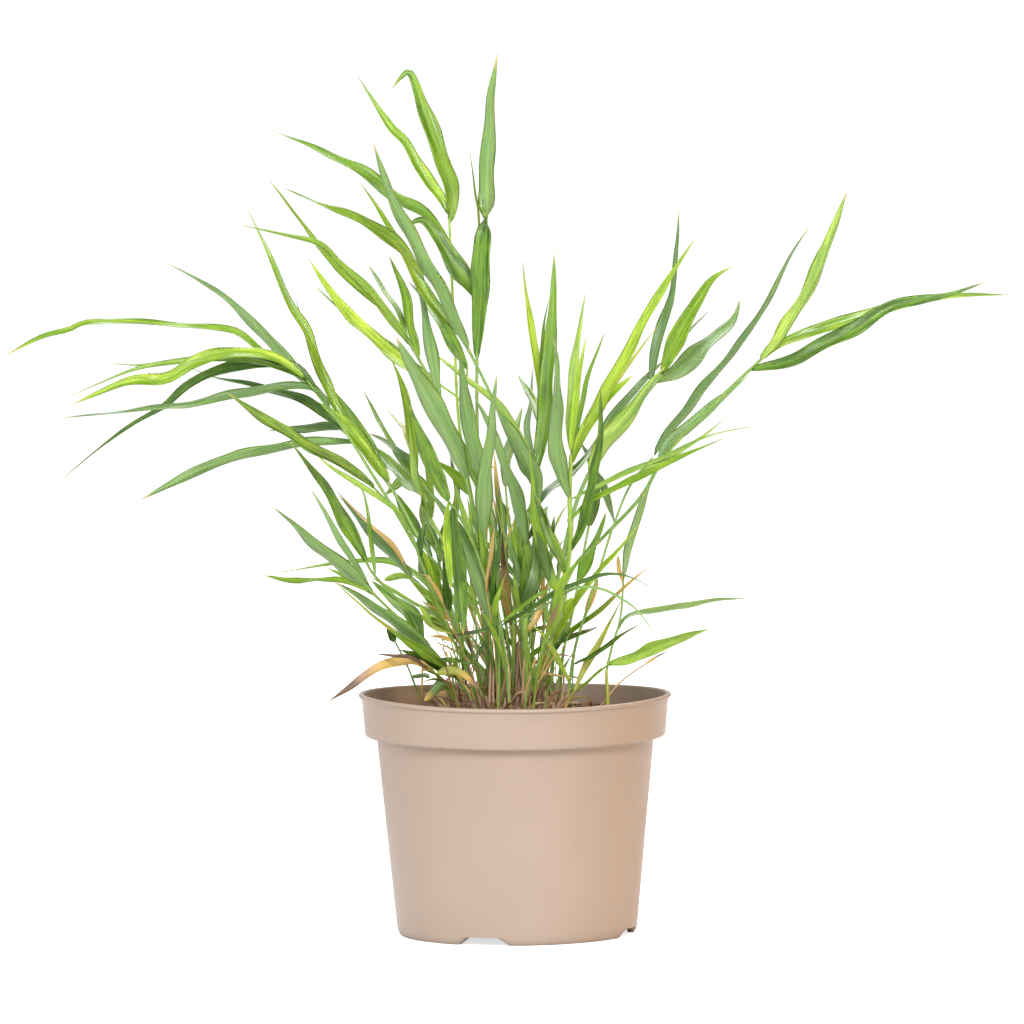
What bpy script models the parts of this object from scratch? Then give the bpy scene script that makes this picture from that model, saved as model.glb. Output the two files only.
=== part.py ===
"""A clump of ornamental grass in a round two-litre nursery pot.

The pot stands on the floor at the origin, +Z is up and the front of the pot faces -Y.
Each shoot is one culm with its own leaf blades joined to it. Shoots are laid out as the
front elevation shows them, in millimetres: a point is (x, z) on the pot's middle plane,
seen by an eye in front of the pot, and a depth behind that plane.
"""

import math

import bmesh
import bpy
from mathutils import Vector
from mathutils.bvhtree import BVHTree

MM = 0.001

# Pot, turned about Z
RIM_RADIUS = 85.0
COLLAR_TOP_RADIUS = 83.4
COLLAR_LOW_RADIUS = 81.9
BODY_TOP_RADIUS = 75.5
BASE_RADIUS = 65.3
POT_HEIGHT = 131.0
LIP_HEIGHT = 2.2
COLLAR_HEIGHT = 23.0
WALL = 1.6
FOOT_HEIGHT = 4.5
FOOT_RING_WIDTH = 5.0
PLATE = 1.8
POT_SIDES = 32

# Notches in the foot ring, and the drain holes behind them
NOTCH_COUNT = 4
NOTCH_FIRST_ANGLE = -107.0
NOTCH_WIDTH_LOW = 30.0
NOTCH_WIDTH_HIGH = 17.0
DRAIN_RADIUS = 4.5
DRAIN_CENTRE_RADIUS = 46.0

# Soil and the crown of old cut culms on it
SOIL_EDGE_HEIGHT = 118.5
SOIL_MIDDLE_HEIGHT = 120.5
SOIL_SIDES = 24
CROWN_CENTRE = (-8.0, 0.0)
CROWN_RADII = (36.0, 32.0)
CROWN_HEIGHT = 9.0
STUB_COUNT = 10
STUB_RADIUS = 1.6
GAP = 0.35

# The eye of the front elevation
EYE_DISTANCE = 4000.0
EYE_HEIGHT = 459.0

# Culms and blades
CULM_POINTS = 60
CULM_RISER = 3
CULM_SEGMENTS = 5
BLADE_SEGMENT_LENGTH = 38.0
BLADE_FEWEST_SEGMENTS = 3
BLADE_MOST_SEGMENTS = 6
KEEL = 0.75
BASE_SHARE = 0.32
WIDEST_AT = 0.34
TIP_WIDTH = 0.3
CLEARANCE = 0.45
INNER_SHARE = 0.3

# Depth changes tried in turn, nearest first, until a culm or blade is clear of the others
CULM_SHIFTS = (0, 6, -6, 12, -12, 18, -18, 26, -26, 36, -36)
FOOT_SHIFTS = (0, 3.2, -3.2, 6.4, -6.4, 9.6, -9.6)
BLADE_SHIFTS = (0, 5, -5, 10, -10, 16, -16, 24, -24, 34, -34, 46, -46, 60, -60)
BASE_SLIDES = (0, 5, -5, 10, -10, 16, -16)

PLASTIC = ("plastic", (0.62, 0.48, 0.39), 0.42)
EARTH = ("earth", (0.09, 0.05, 0.03), 0.95)
STUBBLE = ("stubble", (0.30, 0.19, 0.10), 0.9)
LEAF_COLOURS = {
    "green": (0.12, 0.30, 0.06),
    "lime": (0.36, 0.55, 0.06),
    "grey": (0.22, 0.40, 0.16),
    "straw": (0.55, 0.38, 0.14),
}


def blade(seen_width, turn, reach, *path, blunt=False, full=2.2):
    """One leaf: its width as seen, its turn about its own line (0 shows the upper face to
    the front, 90 its edge, 180 its underside), how far back its tip goes, and its path.
    A full leaf keeps its width further along."""
    return {"width": seen_width, "turn": turn, "reach": reach, "path": path,
            "full": 7.0 if blunt else full}


def shoot(tone, thickness, foot_depth, top_depth, path, *blades):
    """One culm from its foot to its top, and the blades that grow from it."""
    return {"tone": tone, "thickness": thickness, "foot": foot_depth,
            "top": top_depth, "path": path, "blades": blades}


SHOOTS = (
    # Tall leaf at the top, twisted over half way up
    shoot("green", 2.6, 6, 34,
          ((-8, 128), (-10, 165), (-14, 205), (-18, 250), (-19, 290), (-18, 345)),
          blade(9.6, 20, -24, (-18, 312), (-17.5, 330), (-16.5, 350), (-15, 372), (-13.5, 389),
                (-12, 403), (-12, 420), (-10.2, 442), (-9.4, 458), (-5.5, 481), full=3.2),
          blade(9.1, 30, 20, (-18, 345), (-23, 355), (-31, 367), (-39, 380), (-48, 390),
                (-60, 384)),
          blade(2.2, 50, 12, (-18, 322), (-17.5, 360), (-17, 392), (-18.8, 405), (-21.3, 427))),
    # Upright culm beside it
    shoot("lime", 2.4, 20, 62,
          ((-12, 128), (-14, 160), (-17, 205), (-23, 242), (-29, 280), (-31, 330), (-33, 392)),
          blade(9.8, 25, 40, (-33.5, 389), (-31.8, 401), (-35, 417), (-40.5, 434), (-46.3, 450),
                (-50.8, 464.5), (-54, 470), (-58, 467.5), (-63.5, 461), full=2.2),
          blade(7.6, 20, 22, (-33, 392), (-37.5, 402), (-43.5, 409.5), (-49.5, 420), (-56, 432),
                (-62.5, 438.5), (-67.5, 445.5), (-82, 468.5), full=1.4),
          blade(5.5, 50, 62, (-32, 374), (-43, 390), (-62, 402), (-78, 415), (-98, 426),
                (-130, 440)),
          blade(5.7, 35, -30, (-22, 238), (-27, 246), (-34, 252), (-43, 260)),
          blade(4.6, 150, -34, (-28, 268), (-24, 257), (-20, 246), (-18, 237))),
    # Long blue-green leaf that leans left across the tall one
    shoot("grey", 2.4, -6, -24,
          ((5, 127), (7, 165), (10, 205), (14, 238), (3, 268), (-10, 292), (-25, 322), (-47, 357)),
          blade(8.7, 150, -70, (-24, 320), (-33, 339), (-43, 360), (-55, 383), (-66, 407),
                (-74, 433)),
          blade(4.6, 60, -46, (-47, 357), (-57, 371), (-66, 381), (-80, 389), (-98, 397),
                (-123, 408)),
          blade(5, 45, 24, (-30, 325), (-38, 338), (-47, 351), (-56, 369), (-66, 387), (-82, 412)),
          blade(9.1, 155, -44, (15, 236), (11, 250), (5, 263), (-2, 276), (-10, 290)),
          blade(4.6, 40, 40, (11, 252), (4, 272), (-10, 291), (-27, 305), (-43, 318))),
    # Grey-green blade in the middle left
    shoot("grey", 2.2, 12, 14,
          ((-2, 127), (-4, 165), (-8, 200), (-12, 232), (-19, 264), (-24, 290), (-24, 311)),
          blade(6.3, 30, 60, (-24, 309), (-32, 323), (-41, 339), (-56, 357)),
          blade(9.1, 160, -26, (-13, 236), (-18, 254), (-23, 276), (-26, 297), (-28, 320))),
    # Left fan, upper
    shoot("green", 2.4, -18, -52,
          ((-14, 128), (-15, 160), (-18, 200), (-24, 243), (-36, 282), (-48, 310), (-66, 340)),
          blade(7.2, 25, -60, (-55, 320), (-62, 332), (-72, 345), (-82, 356), (-93, 367),
                (-104, 377.5), (-120, 382), (-146, 388), full=1),
          blade(3.6, 60, -20, (-64, 338), (-84, 354), (-102, 373), (-116, 393), (-131, 413)),
          blade(5.7, 35, 36, (-50, 313), (-55, 331), (-57, 348), (-66, 371)),
          blade(3, 50, 60, (-56, 324), (-62, 341), (-69, 352), (-78, 367)),
          blade(10.5, 158, -40, (-26, 247), (-32, 266), (-41, 286), (-52, 306), (-63, 327),
                full=3),
          blade(5.7, 140, 50, (-39, 290), (-43, 312), (-47, 338), (-52, 361))),
    # Lime leaf that runs far to the upper left
    shoot("lime", 2.2, 26, 80,
          ((2, 127), (0, 150), (-4, 185), (-9, 220), (-16, 255), (-26, 288), (-40, 301)),
          blade(7.4, 30, 66, (-39, 300), (-50, 306), (-61, 314), (-76, 327), (-94, 346),
                (-110, 370)),
          blade(4.1, 130, 96, (-38, 299), (-56, 313), (-76, 329), (-94, 343), (-107, 355))),
    # Left fan, middle, behind
    shoot("green", 2.4, 8, 36,
          ((-18, 129), (-24, 158), (-36, 190), (-52, 218), (-66, 244), (-82, 268), (-101, 294)),
          blade(7.4, 35, 24, (-90, 281), (-98, 293), (-104, 309), (-111, 329), (-118, 341),
                (-123.5, 353), (-132, 374), (-143, 398), full=1.1),
          blade(5.6, 150, 70, (-98, 290), (-113, 304), (-129, 322), (-146, 340), (-164, 355),
                (-187, 368)),
          blade(8, 30, -16, (-68, 247), (-75, 259), (-84, 271), (-95, 282), (-107, 290),
                (-122, 295)),
          blade(5.8, 150, -34, (-80, 270), (-102, 269.5), (-126.5, 267), (-151, 261.5),
                (-167.5, 256.5), (-184, 248.5), (-203, 239), full=4.5),
          blade(3.4, 65, 60, (-88, 275), (-100, 277), (-115, 277), (-134, 276)),
          blade(2.7, 40, 40, (-98, 290), (-106, 310), (-112, 330), (-117, 348)),
          blade(5, 30, 44, (-64, 240), (-58, 230), (-53, 221), (-47, 212), blunt=True),
          blade(5, 35, 20, (-69, 250), (-77, 266), (-86, 281), (-96, 295), (-104, 306))),
    # Left fan, middle, in front: long drooping leaves
    shoot("green", 2.4, -10, -44,
          ((-22, 129), (-30, 160), (-43, 192), (-60, 224), (-76, 251), (-92, 277), (-112, 304)),
          blade(5.6, 45, -14, (-104, 295), (-115, 309), (-126, 312), (-148, 312), (-164, 307.5),
                (-178, 299.5), (-189, 290.5), (-205, 281), (-225, 267.5), (-246, 250), full=1.3),
          blade(6.2, 40, -50, (-111, 303), (-128, 315), (-148, 319), (-172, 313.5), (-189, 305),
                (-211, 303), (-240, 291), full=3),
          blade(3.3, 55, 16, (-109, 300), (-134, 318), (-146, 328), (-158, 331.5), (-185, 334.5),
                (-226, 336.5), (-241, 331.5), (-257, 328), (-276, 318), full=6),
          blade(3.2, 62, -52, (-97, 284), (-107, 298), (-128, 299.5), (-150, 295.5), (-170, 291.5),
                (-198, 288.5), (-247, 284), full=3),
          blade(4, 50, 24, (-90, 274), (-102, 284), (-117, 294), (-142, 301), (-160, 305),
                (-176, 311))),
    # Left, low in front, with the broken-ended leaf
    shoot("green", 2, -26, -104,
          ((-20, 129), (-28, 148), (-38, 172), (-49, 200), (-58, 224), (-76, 245)),
          blade(5.8, 35, -84, (-75, 244), (-85, 252.5), (-100, 261), (-119, 272.5), (-137, 284),
                (-155, 297), full=3.5),
          blade(2.7, 45, -20, (-56, 220), (-66, 234), (-82, 245), (-98, 255), (-114, 270))),
    # Left, low: dark leaf that climbs
    shoot("green", 2.2, -14, -66,
          ((-16, 129), (-24, 150), (-37, 167), (-53, 175), (-66, 186), (-77, 198), (-82, 208)),
          blade(6.6, 30, -54, (-80, 204), (-88, 219), (-97, 235), (-106, 250), (-121, 270)),
          blade(2.6, 35, 20, (-76, 196), (-79, 228), (-82, 243), (-88, 246))),
    # Left, low: the spray just above the rim
    shoot("grey", 2.4, -22, -84,
          ((-24, 129), (-30, 138), (-42, 152), (-54, 165), (-66, 176), (-79, 189)),
          blade(6.6, 155, -70, (-77, 186), (-86, 195), (-97, 205), (-109, 214.5), (-120, 225),
                (-131, 235)),
          blade(4.2, 150, -20, (-78, 188), (-87, 203), (-96, 219), (-103, 232), (-110, 244)),
          blade(2.6, 55, -88, (-77, 187), (-92, 193), (-106, 194.5), (-118, 193.5), (-136, 197),
                full=5),
          blade(3.2, 40, 10, (-76, 185), (-88, 194), (-102, 201)),
          blade(7.8, 155, -38, (-47, 155), (-57, 164.5), (-70, 174.5), (-83, 184), (-97, 193)),
          blade(8, 25, 34, (-50, 161), (-57, 176), (-68, 185), (-78, 194)),
          blade(3.2, 140, -70, (-37, 144), (-45, 150), (-57, 158.5), (-71, 169.5), (-85, 181.5),
                (-98, 193.5)),
          blade(4.8, 35, -96, (-34, 142), (-42, 149), (-52, 156), (-61, 162), (-70, 168)),
          blade(5.7, 30, -60, (-32, 141), (-43, 147), (-53, 152), (-63, 156))),
    # Big yellow dead leaf that hangs over the rim
    shoot("straw", 1.8, -29, -66,
          ((-30, 128), (-34, 134), (-40, 140), (-47, 145)),
          blade(5.6, 30, -24, (-46, 144), (-55, 150), (-64, 148.7), (-74, 145.8), (-82.6, 141),
                (-91, 134.8), (-102.5, 127.3)),
          blade(1.8, 60, 12, (-44, 143), (-56, 151), (-66, 152.2), (-78, 154)),
          blade(5, 155, -4, (-37, 138), (-41, 136), (-45.5, 131), (-49.5, 127.5), blunt=True),
          blade(5, 35, 12, (-43, 142), (-35, 143.5), (-27, 140.5), (-20, 134))),
    # Thin culm out on the soil at the left
    shoot("green", 1.4, 4, -14,
          ((-50, 121), (-54, 135), (-59, 148), (-66, 162)),
          blade(3.6, 30, -6, (-65, 160), (-67, 164), (-69, 169), blunt=True),
          blade(3.2, 150, -20, (-56, 140), (-51, 141.5), (-46, 141), blunt=True)),
    # Behind at the left: dark leaf with its dried pink edge
    shoot("grey", 2.2, 30, 46,
          ((-13, 129), (-21, 150), (-32, 169), (-44, 184), (-56, 196)),
          blade(6.4, 150, 60, (-55, 195), (-64, 205), (-74, 216), (-84, 228), (-95, 241)),
          blade(1.9, 50, 44, (-54, 197), (-65, 211.5), (-75, 221.5), (-85, 231), (-96, 243)),
          blade(3.2, 40, 24, (-54, 194), (-62, 196), (-71, 194), blunt=True)),
    # Behind at the left: arching leaf over the low spray
    shoot("green", 2.2, 36, 96,
          ((-7, 128), (-14, 145), (-25, 161), (-37, 174)),
          blade(5.4, 35, 76, (-36, 173), (-42, 184), (-50, 194.5), (-60, 201), (-72, 204.5),
                (-92, 204), (-128, 198.5), full=0.9),
          blade(5.7, 30, 84, (-34, 170), (-40, 186), (-45, 196), (-50, 205)),
          blade(5, 25, -10, (-36.5, 175), (-43, 180), (-50, 187), (-58, 196)),
          blade(2.6, 40, 30, (-37, 172), (-50, 178.5), (-63, 186.5), (-80, 197))),
    # Behind at the left: lime node half way up
    shoot("lime", 2.8, 24, 118,
          ((-10, 128), (-15, 160), (-25, 190), (-37, 213), (-47, 232), (-53, 257)),
          blade(5.2, 25, 44, (-52, 252), (-55, 271), (-57, 289), (-61, 304), (-66, 316)),
          blade(8.6, 30, 72, (-50, 240), (-57, 247), (-66, 257), (-77, 268), full=1.8),
          blade(4.8, 45, 16, (-52, 253), (-60, 262), (-68, 269), (-78, 274)),
          blade(3.6, 30, 56, (-51, 246), (-63, 263), (-72, 280), (-81, 298)),
          blade(3, 50, 70, (-53, 256), (-57, 272), (-62, 280), (-69, 288)),
          blade(5.2, 30, 30, (-49, 238), (-49, 231), (-46, 221), (-43, 211), blunt=True),
          blade(4.8, 150, 4, (-50, 237), (-53, 250), (-54.5, 262), (-56, 277)),
          blade(4.8, 35, -10, (-44, 226), (-45, 245), (-48, 265), (-54, 284), (-58, 298))),
    # In front: the dark leaf that hangs, and the long blue-green one beside it
    shoot("green", 2.4, -24, -74,
          ((-8, 127), (-9, 155), (-14, 188), (-21, 211), (-28, 226), (-36, 238)),
          blade(8.2, 25, -46, (-35, 236), (-41, 249), (-46, 262), (-51, 275), (-56, 289)),
          blade(7.3, 20, -62, (-33, 234), (-32.5, 222), (-31, 210), (-29.7, 198), (-28.8, 184),
                (-28, 172), (-28, 163.5), full=4.5),
          blade(3.8, 20, -40, (-35, 237), (-36.5, 226), (-36, 214), (-35, 201), (-34.3, 188.5),
                blunt=True),
          blade(8.4, 155, -34, (-10, 158), (-14, 176), (-20, 197), (-29, 218), (-39, 234),
                (-51, 248)),
          blade(3.9, 30, -10, (-23, 216), (-27, 228), (-31, 245))),
    # In front, middle: broad blue-green leaf
    shoot("grey", 2.2, -30, -52,
          ((-3, 126), (-5, 150), (-8, 172), (-12, 192), (-17, 213)),
          blade(8.4, 155, -50, (-17, 211), (-16, 228), (-15, 247), (-12, 268), (-10, 287),
                (-8, 306)),
          blade(3.3, 45, -66, (-7, 168), (3, 174), (14, 180), (27, 188), (42, 193.5), (52, 195.8),
                (63, 194.3), (78, 187), full=1.2),
          blade(1.2, 50, -108, (-6, 165), (8, 174), (22, 182), (35, 188.5), (47, 188), (58, 182.5),
                (68, 175), (79.5, 158.5), full=4),
          blade(2, 40, 30, (-9, 176), (-20, 181), (-31, 180), (-42, 184)),
          blade(2, 50, 20, (-10, 170), (-18, 165.5), (-27, 164), (-37, 162.5)),
          blade(2.2, 40, -60, (-7, 170), (2, 176.5), (12, 184), (24, 190.5))),
    # Middle: pale thick culm
    shoot("lime", 4, -14, -18,
          ((7, 126), (6, 150), (6, 180), (7, 205), (8, 226)),
          blade(7.4, 150, -38, (7, 211), (4, 228), (-1, 246), (-7, 264), (-14, 281), (-21, 295)),
          blade(5.7, 140, 30, (6, 176), (10, 190), (13, 204), (16, 224)),
          blade(3.7, 25, 14, (9, 163), (12.5, 173), (16.5, 185), (22, 198))),
    # Middle: brown old culm with a yellowed leaf
    shoot("straw", 3, 16, 26,
          ((1, 126), (1, 145), (-1, 170), (-4, 200), (-7, 240)),
          blade(5.2, 30, 16, (-4, 200), (-6, 218), (-8, 238), (-10, 264)),
          blade(4.8, 20, -30, (-3, 166), (-4, 182), (-5.3, 200), (-6, 220)),
          blade(3.6, 35, -90, (1, 144), (14, 155), (31, 164.5), (49, 178), (62, 190), (74, 200)),
          blade(2, 50, -60, (0, 158), (8, 163.5), (16, 167), (24, 167.8), blunt=True)),
    # Tall middle right
    shoot("green", 2.6, 12, 44,
          ((11, 127), (10, 160), (11, 200), (12, 235), (14, 260), (17, 282)),
          blade(9.8, 20, 14, (13, 253), (16, 268), (18, 283), (19.5, 301), (21, 320), (23, 343),
                (24, 373), full=1.8),
          blade(4.1, 35, 60, (17, 280), (15, 304), (12, 325), (9, 344), (6.5, 368)),
          blade(4.8, 30, 66, (16, 274), (13, 286), (9, 295.5), (3, 306)),
          blade(3.4, 140, 90, (11, 250), (8, 273), (10, 290), (12, 311)),
          blade(3.6, 35, 36, (15, 268), (17, 300), (17.5, 328), (21, 347)),
          blade(4.8, 40, 70, (12, 232), (20, 242), (33, 252), (41, 261), (47, 272))),
    # Right: the bright culm that carries the big lime leaf
    shoot("lime", 3.6, -8, -34,
          ((16, 125), (17, 142), (22, 165), (28, 190), (31, 215), (31, 238), (32, 262)),
          blade(8, 150, -56, (31.5, 236), (27, 248), (24, 262), (23.5, 278), (24.5, 294),
                (25, 310), (23, 325)),
          blade(7.2, 25, -64, (32, 256), (39, 273), (50, 292), (61.5, 313), (76, 340), (89, 361),
                (101, 379)),
          blade(3.6, 30, -24, (32, 258), (42, 279), (53, 293), (66.5, 304.5), blunt=True),
          blade(4.9, 35, 36, (32, 261), (32, 282), (33.5, 300), (35.5, 318), (38, 334), (41, 350)),
          blade(4.4, 25, -14, (32, 262), (33.5, 280), (35.5, 298), (41, 326)),
          blade(3.6, 40, 56, (32, 260), (37, 283), (40.5, 299), (44.5, 311), (51, 328)),
          blade(2.2, 50, 30, (32, 259), (46, 283), (61, 306), (80, 331)),
          blade(3.5, 40, -86, (31, 226), (40, 234), (54, 242), (70, 249), (85, 256.5), (99, 262.5),
                (115.5, 269.5)),
          blade(2.5, 50, -52, (31, 236), (48, 244.5), (68, 253.5), (88, 262), (108, 271),
                (130, 275.5)),
          blade(6, 25, -30, (26, 182), (19, 198), (15, 213), (12, 230), (11, 243), (9, 266)),
          blade(5.8, 30, -74, (27, 197), (22, 211), (16, 227), (11, 243)),
          blade(6, 25, -62, (33, 207), (38, 222), (41.5, 238), (45, 253), (48, 270), (48.5, 300),
                full=1.8),
          blade(3.8, 25, -104, (20, 157), (30, 175), (43.5, 194), (56, 207.5), (69, 223)),
          blade(1.6, 60, -40, (20, 156), (30, 160.5), (46, 167))),
    # Right: pale sheath with the four leaves at its end
    shoot("grey", 3.2, 18, 46,
          ((13, 126), (16, 150), (21, 180), (27, 206), (35, 236), (46, 258), (64, 282), (82, 305)),
          blade(9.2, 155, -20, (41, 250), (50, 267), (62, 281), (73, 296), (84, 309)),
          blade(5.2, 40, 20, (44, 256), (55, 281), (68, 297), (84, 313)),
          blade(5.2, 45, 24, (76, 298), (78, 315), (83.5, 333), (88.5, 352), (90.5, 368),
                (92, 395)),
          blade(8.6, 20, -30, (82, 304), (88, 319), (95.5, 334), (104, 348), (111.5, 357),
                (121, 363)),
          blade(2.2, 50, 50, (80, 303), (93, 323), (109, 340)),
          blade(9.4, 30, 70, (78, 300), (88, 304.5), (97, 311.5), (105, 319), (113, 326.5),
                (120, 332), (123.3, 338.5), (124.6, 345.5)),
          blade(4.2, 35, 44, (42, 253), (48, 246), (51.5, 237), (54, 229), (55.5, 222))),
    # Right: the longest culm, out to the far right
    shoot("green", 2.8, 4, 12,
          ((20, 126), (21, 150), (25, 178), (33, 200), (50, 217), (70, 238), (84, 261), (110, 288),
           (138, 314)),
          blade(8.2, 145, -26, (135, 311), (146, 323), (156.5, 340), (166, 358), (175, 381),
                (184, 404)),
          blade(5.8, 40, 24, (136, 312), (150, 322), (172, 329), (192, 335), (209, 340),
                (232, 345), (275, 346)),
          blade(8.4, 40, -44, (130, 306), (146, 309), (163, 316), (183, 326), (205, 339),
                (222, 343.5), (240, 346.5), (260, 353.5), full=1.7),
          blade(5.6, 40, 24, (78, 257), (85, 266), (96, 276), (106, 284), (118, 294),
                (130, 304.5))),
    # Right: arching culm in front, with a tan sheath low down
    shoot("grey", 2, -12, -56,
          ((28, 127), (33, 155), (40, 177), (48, 202), (55, 223), (64, 244), (77, 260)),
          blade(6.4, 145, -62, (76, 260), (85, 272.5), (99.5, 290), (120, 315.5), (131.5, 330),
                (143.2, 350), (153.4, 370), (163.8, 385.5), full=1.4),
          blade(2.2, 50, 10, (70, 253), (88, 260), (102, 269), (116, 280)),
          blade(3.2, 20, -4, (39.3, 174.5), (42, 182), (46, 193), blunt=True),
          blade(2, 50, -90, (31, 146), (41, 150.5), (50, 156), (57, 161.5), (70, 169))),
    # Right, behind: thin culm with drooping leaves
    shoot("grey", 1.8, 14, 58,
          ((51, 121), (50, 140), (53, 155), (58, 172), (60, 194)),
          blade(4.6, 150, 34, (60, 193), (62.5, 207), (66.5, 222), (72, 238), (79, 256)),
          blade(3, 45, 84, (56, 165), (60, 171), (67, 174.5), (80, 176), (92, 178), (110, 181),
                (130, 182)),
          blade(2.2, 20, 10, (59, 190), (57.5, 198), (57, 206), blunt=True)),
    # Right, low in front: broad leaf above the rim
    shoot("lime", 1.6, -24, -62,
          ((27, 126), (33, 132), (42, 139), (52, 147)),
          blade(6.6, 30, -76, (51, 146.5), (61, 148.8), (70, 152), (80, 156.3), (90, 160),
                (107, 165.5)),
          blade(3.2, 40, -10, (32, 131), (38, 144), (46, 157), (52, 169), (60, 184))),
    # Dry culm at the right rim
    shoot("straw", 1.3, -6, 22,
          ((46, 121), (51, 129), (57, 136), (66, 143), (77, 149.5)),
          blade(1.4, 40, 4, (70, 146), (76, 149.5), (84, 153.5))),
    # Shoots that fill the back of the clump
    shoot("green", 2.2, 30, 150,
          ((-22, 130), (-27, 155), (-36, 185), (-43, 215), (-46, 240)),
          blade(8, 150, 2, (-45, 236), (-51, 246), (-58, 249), (-70, 240)),
          blade(6.8, 140, 20, (-40, 203), (-34, 222), (-30, 243), (-34, 262))),
    shoot("grey", 2.2, 34, 128,
          ((4, 130), (4, 160), (2, 190), (-2, 220), (-4, 246)),
          blade(7, 160, 50, (-4, 244), (-2.5, 260), (2, 275), (6, 288)),
          blade(6.8, 35, 34, (1, 200), (6, 218), (11, 234), (15, 246))),
    shoot("green", 2.2, 28, 142,
          ((22, 129), (27, 155), (33, 180), (38, 206), (42, 226)),
          blade(7.5, 150, 46, (41, 222), (44, 240), (42, 258), (36, 270)),
          blade(6.2, 40, 30, (35, 190), (42, 206), (47, 219), (51, 230))),
    # Short young shoots in front
    shoot("lime", 1.8, -32, -70,
          ((10, 124), (12, 140), (16, 158), (22, 176)),
          blade(3.8, 30, -30, (21, 174), (26, 190), (33, 200), (41, 208)),
          blade(4.1, 150, -44, (17, 160), (24, 172), (27, 186))),
)


def smoothed(points, count):
    """count + 1 points at even steps along a smooth curve through the given ones."""
    ends = [points[0] * 2 - points[1], *points, points[-1] * 2 - points[-2]]
    fine = []
    for before, start, finish, after in zip(ends, ends[1:], ends[2:], ends[3:]):
        for step in range(12):
            t = step / 12
            fine.append(0.5 * (2 * start + (finish - before) * t
                               + (2 * before - 5 * start + 4 * finish - after) * t * t
                               + (3 * start - before - 3 * finish + after) * t ** 3))
    fine.append(points[-1].copy())
    lengths = [0.0]
    for previous, current in zip(fine, fine[1:]):
        lengths.append(lengths[-1] + (current - previous).length)
    result, place = [], 0
    for index in range(count + 1):
        wanted = lengths[-1] * index / count
        while place < len(fine) - 2 and lengths[place + 1] < wanted:
            place += 1
        share = (wanted - lengths[place]) / max(lengths[place + 1] - lengths[place], 1e-9)
        result.append(fine[place].lerp(fine[place + 1], min(1.0, max(0.0, share))))
    return result


def seen(x, z, depth):
    """The point at that depth which the eye sees at (x, z) on the middle plane."""
    nearer = depth / EYE_DISTANCE
    return Vector((x * (1 + nearer), depth, z + (z - EYE_HEIGHT) * nearer))


def ease(share):
    share = min(1.0, max(0.0, share))
    return share * share * (3 - 2 * share)


def soil_height(x, y):
    """The top of the soil: a low swell with a few shallow lumps."""
    share = min(1.0, math.hypot(x, y) / BODY_TOP_RADIUS)
    lumps = 0.7 * math.sin(x * 0.11 + 0.6) * math.cos(y * 0.13 - 0.4)
    return SOIL_EDGE_HEIGHT + (SOIL_MIDDLE_HEIGHT - SOIL_EDGE_HEIGHT) * (1 - share ** 2) + lumps


def ground_height(x, y):
    """What a culm stands on: the crown, or the soil outside it."""
    across = (x - CROWN_CENTRE[0]) / CROWN_RADII[0]
    along = (y - CROWN_CENTRE[1]) / CROWN_RADII[1]
    swell = 1 - across ** 2 - along ** 2
    top = soil_height(x, y)
    if swell > 0:
        top = max(top, SOIL_EDGE_HEIGHT + 1.6 + GAP + CROWN_HEIGHT * math.sqrt(swell))
    return top


def foot_height(x, y, radius):
    """The lowest height that keeps a round foot clear of the ground all round."""
    ring = [ground_height(x + radius * math.cos(a), y + radius * math.sin(a))
            for a in (0.0, 1.05, 2.09, 3.14, 4.19, 5.24)]
    return max(ground_height(x, y), *ring) + 0.9 * GAP + 0.3


def culm_bends():
    """Which of the culm's points are its bends: its foot, just above it, and even steps."""
    steps = range(CULM_SEGMENTS + 1)
    return [0] + [round(CULM_RISER + (CULM_POINTS - CULM_RISER) * step / CULM_SEGMENTS)
                  for step in steps]


def culm_line(row, foot_shift, top_shift):
    """The middle line of a culm, in millimetres, straight from bend to bend."""
    path = row["path"]
    foot, top = row["foot"] + foot_shift, row["top"] + top_shift
    rise = [0.0]
    for (x0, z0), (x1, z1) in zip(path, path[1:]):
        rise.append(rise[-1] + math.hypot(x1 - x0, z1 - z0))
    points = []
    for (x, z), run in zip(path, rise):
        share = run / rise[-1]
        points.append(seen(x, z, foot + (top - foot) * share ** 1.25))
    start = points[0]
    radius = row["thickness"] / 2 + CLEARANCE
    start.z = foot_height(start.x, start.y, radius)
    points.insert(1, start + Vector((0, 0, 3)))
    while points[2].z < points[1].z + 2:
        points[2].z += 1
    curve = smoothed(points, CULM_POINTS)
    bends = culm_bends()
    line = [curve[start].lerp(curve[finish], (index - start) / (finish - start))
            for start, finish in zip(bends, bends[1:]) for index in range(start, finish)]
    return [*line, curve[-1]]


def loft(rings):
    """Points and triangles of a closed body through rings of three points each."""
    verts = [point for ring in rings for point in ring]
    faces = [(2, 1, 0)]
    for row in range(len(rings) - 1):
        for side in range(3):
            a, b = row * 3 + side, row * 3 + (side + 1) % 3
            faces += [(a, b, b + 3), (a, b + 3, a + 3)]
    last = 3 * (len(rings) - 1)
    faces.append((last, last + 1, last + 2))
    return verts, faces


def tube(line, radius, taper, sides=6):
    """Points and triangles of a tapered tube, for testing what a culm touches."""
    verts, faces = [], []
    for row, point in enumerate(line):
        ahead = line[min(row + 1, len(line) - 1)] - line[max(row - 1, 0)]
        ahead.normalize()
        side = ahead.cross(Vector((0, 1, 0))).normalized()
        back = side.cross(ahead)
        size = radius * (1 - taper * row / (len(line) - 1))
        for corner in range(sides):
            angle = math.tau * corner / sides
            verts.append(point + size * (side * math.cos(angle) + back * math.sin(angle)))
        if row:
            for corner in range(sides):
                a = (row - 1) * sides + corner
                b = (row - 1) * sides + (corner + 1) % sides
                faces += [(a, b, b + sides), (a, b + sides, a + sides)]
    return verts, faces


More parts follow.
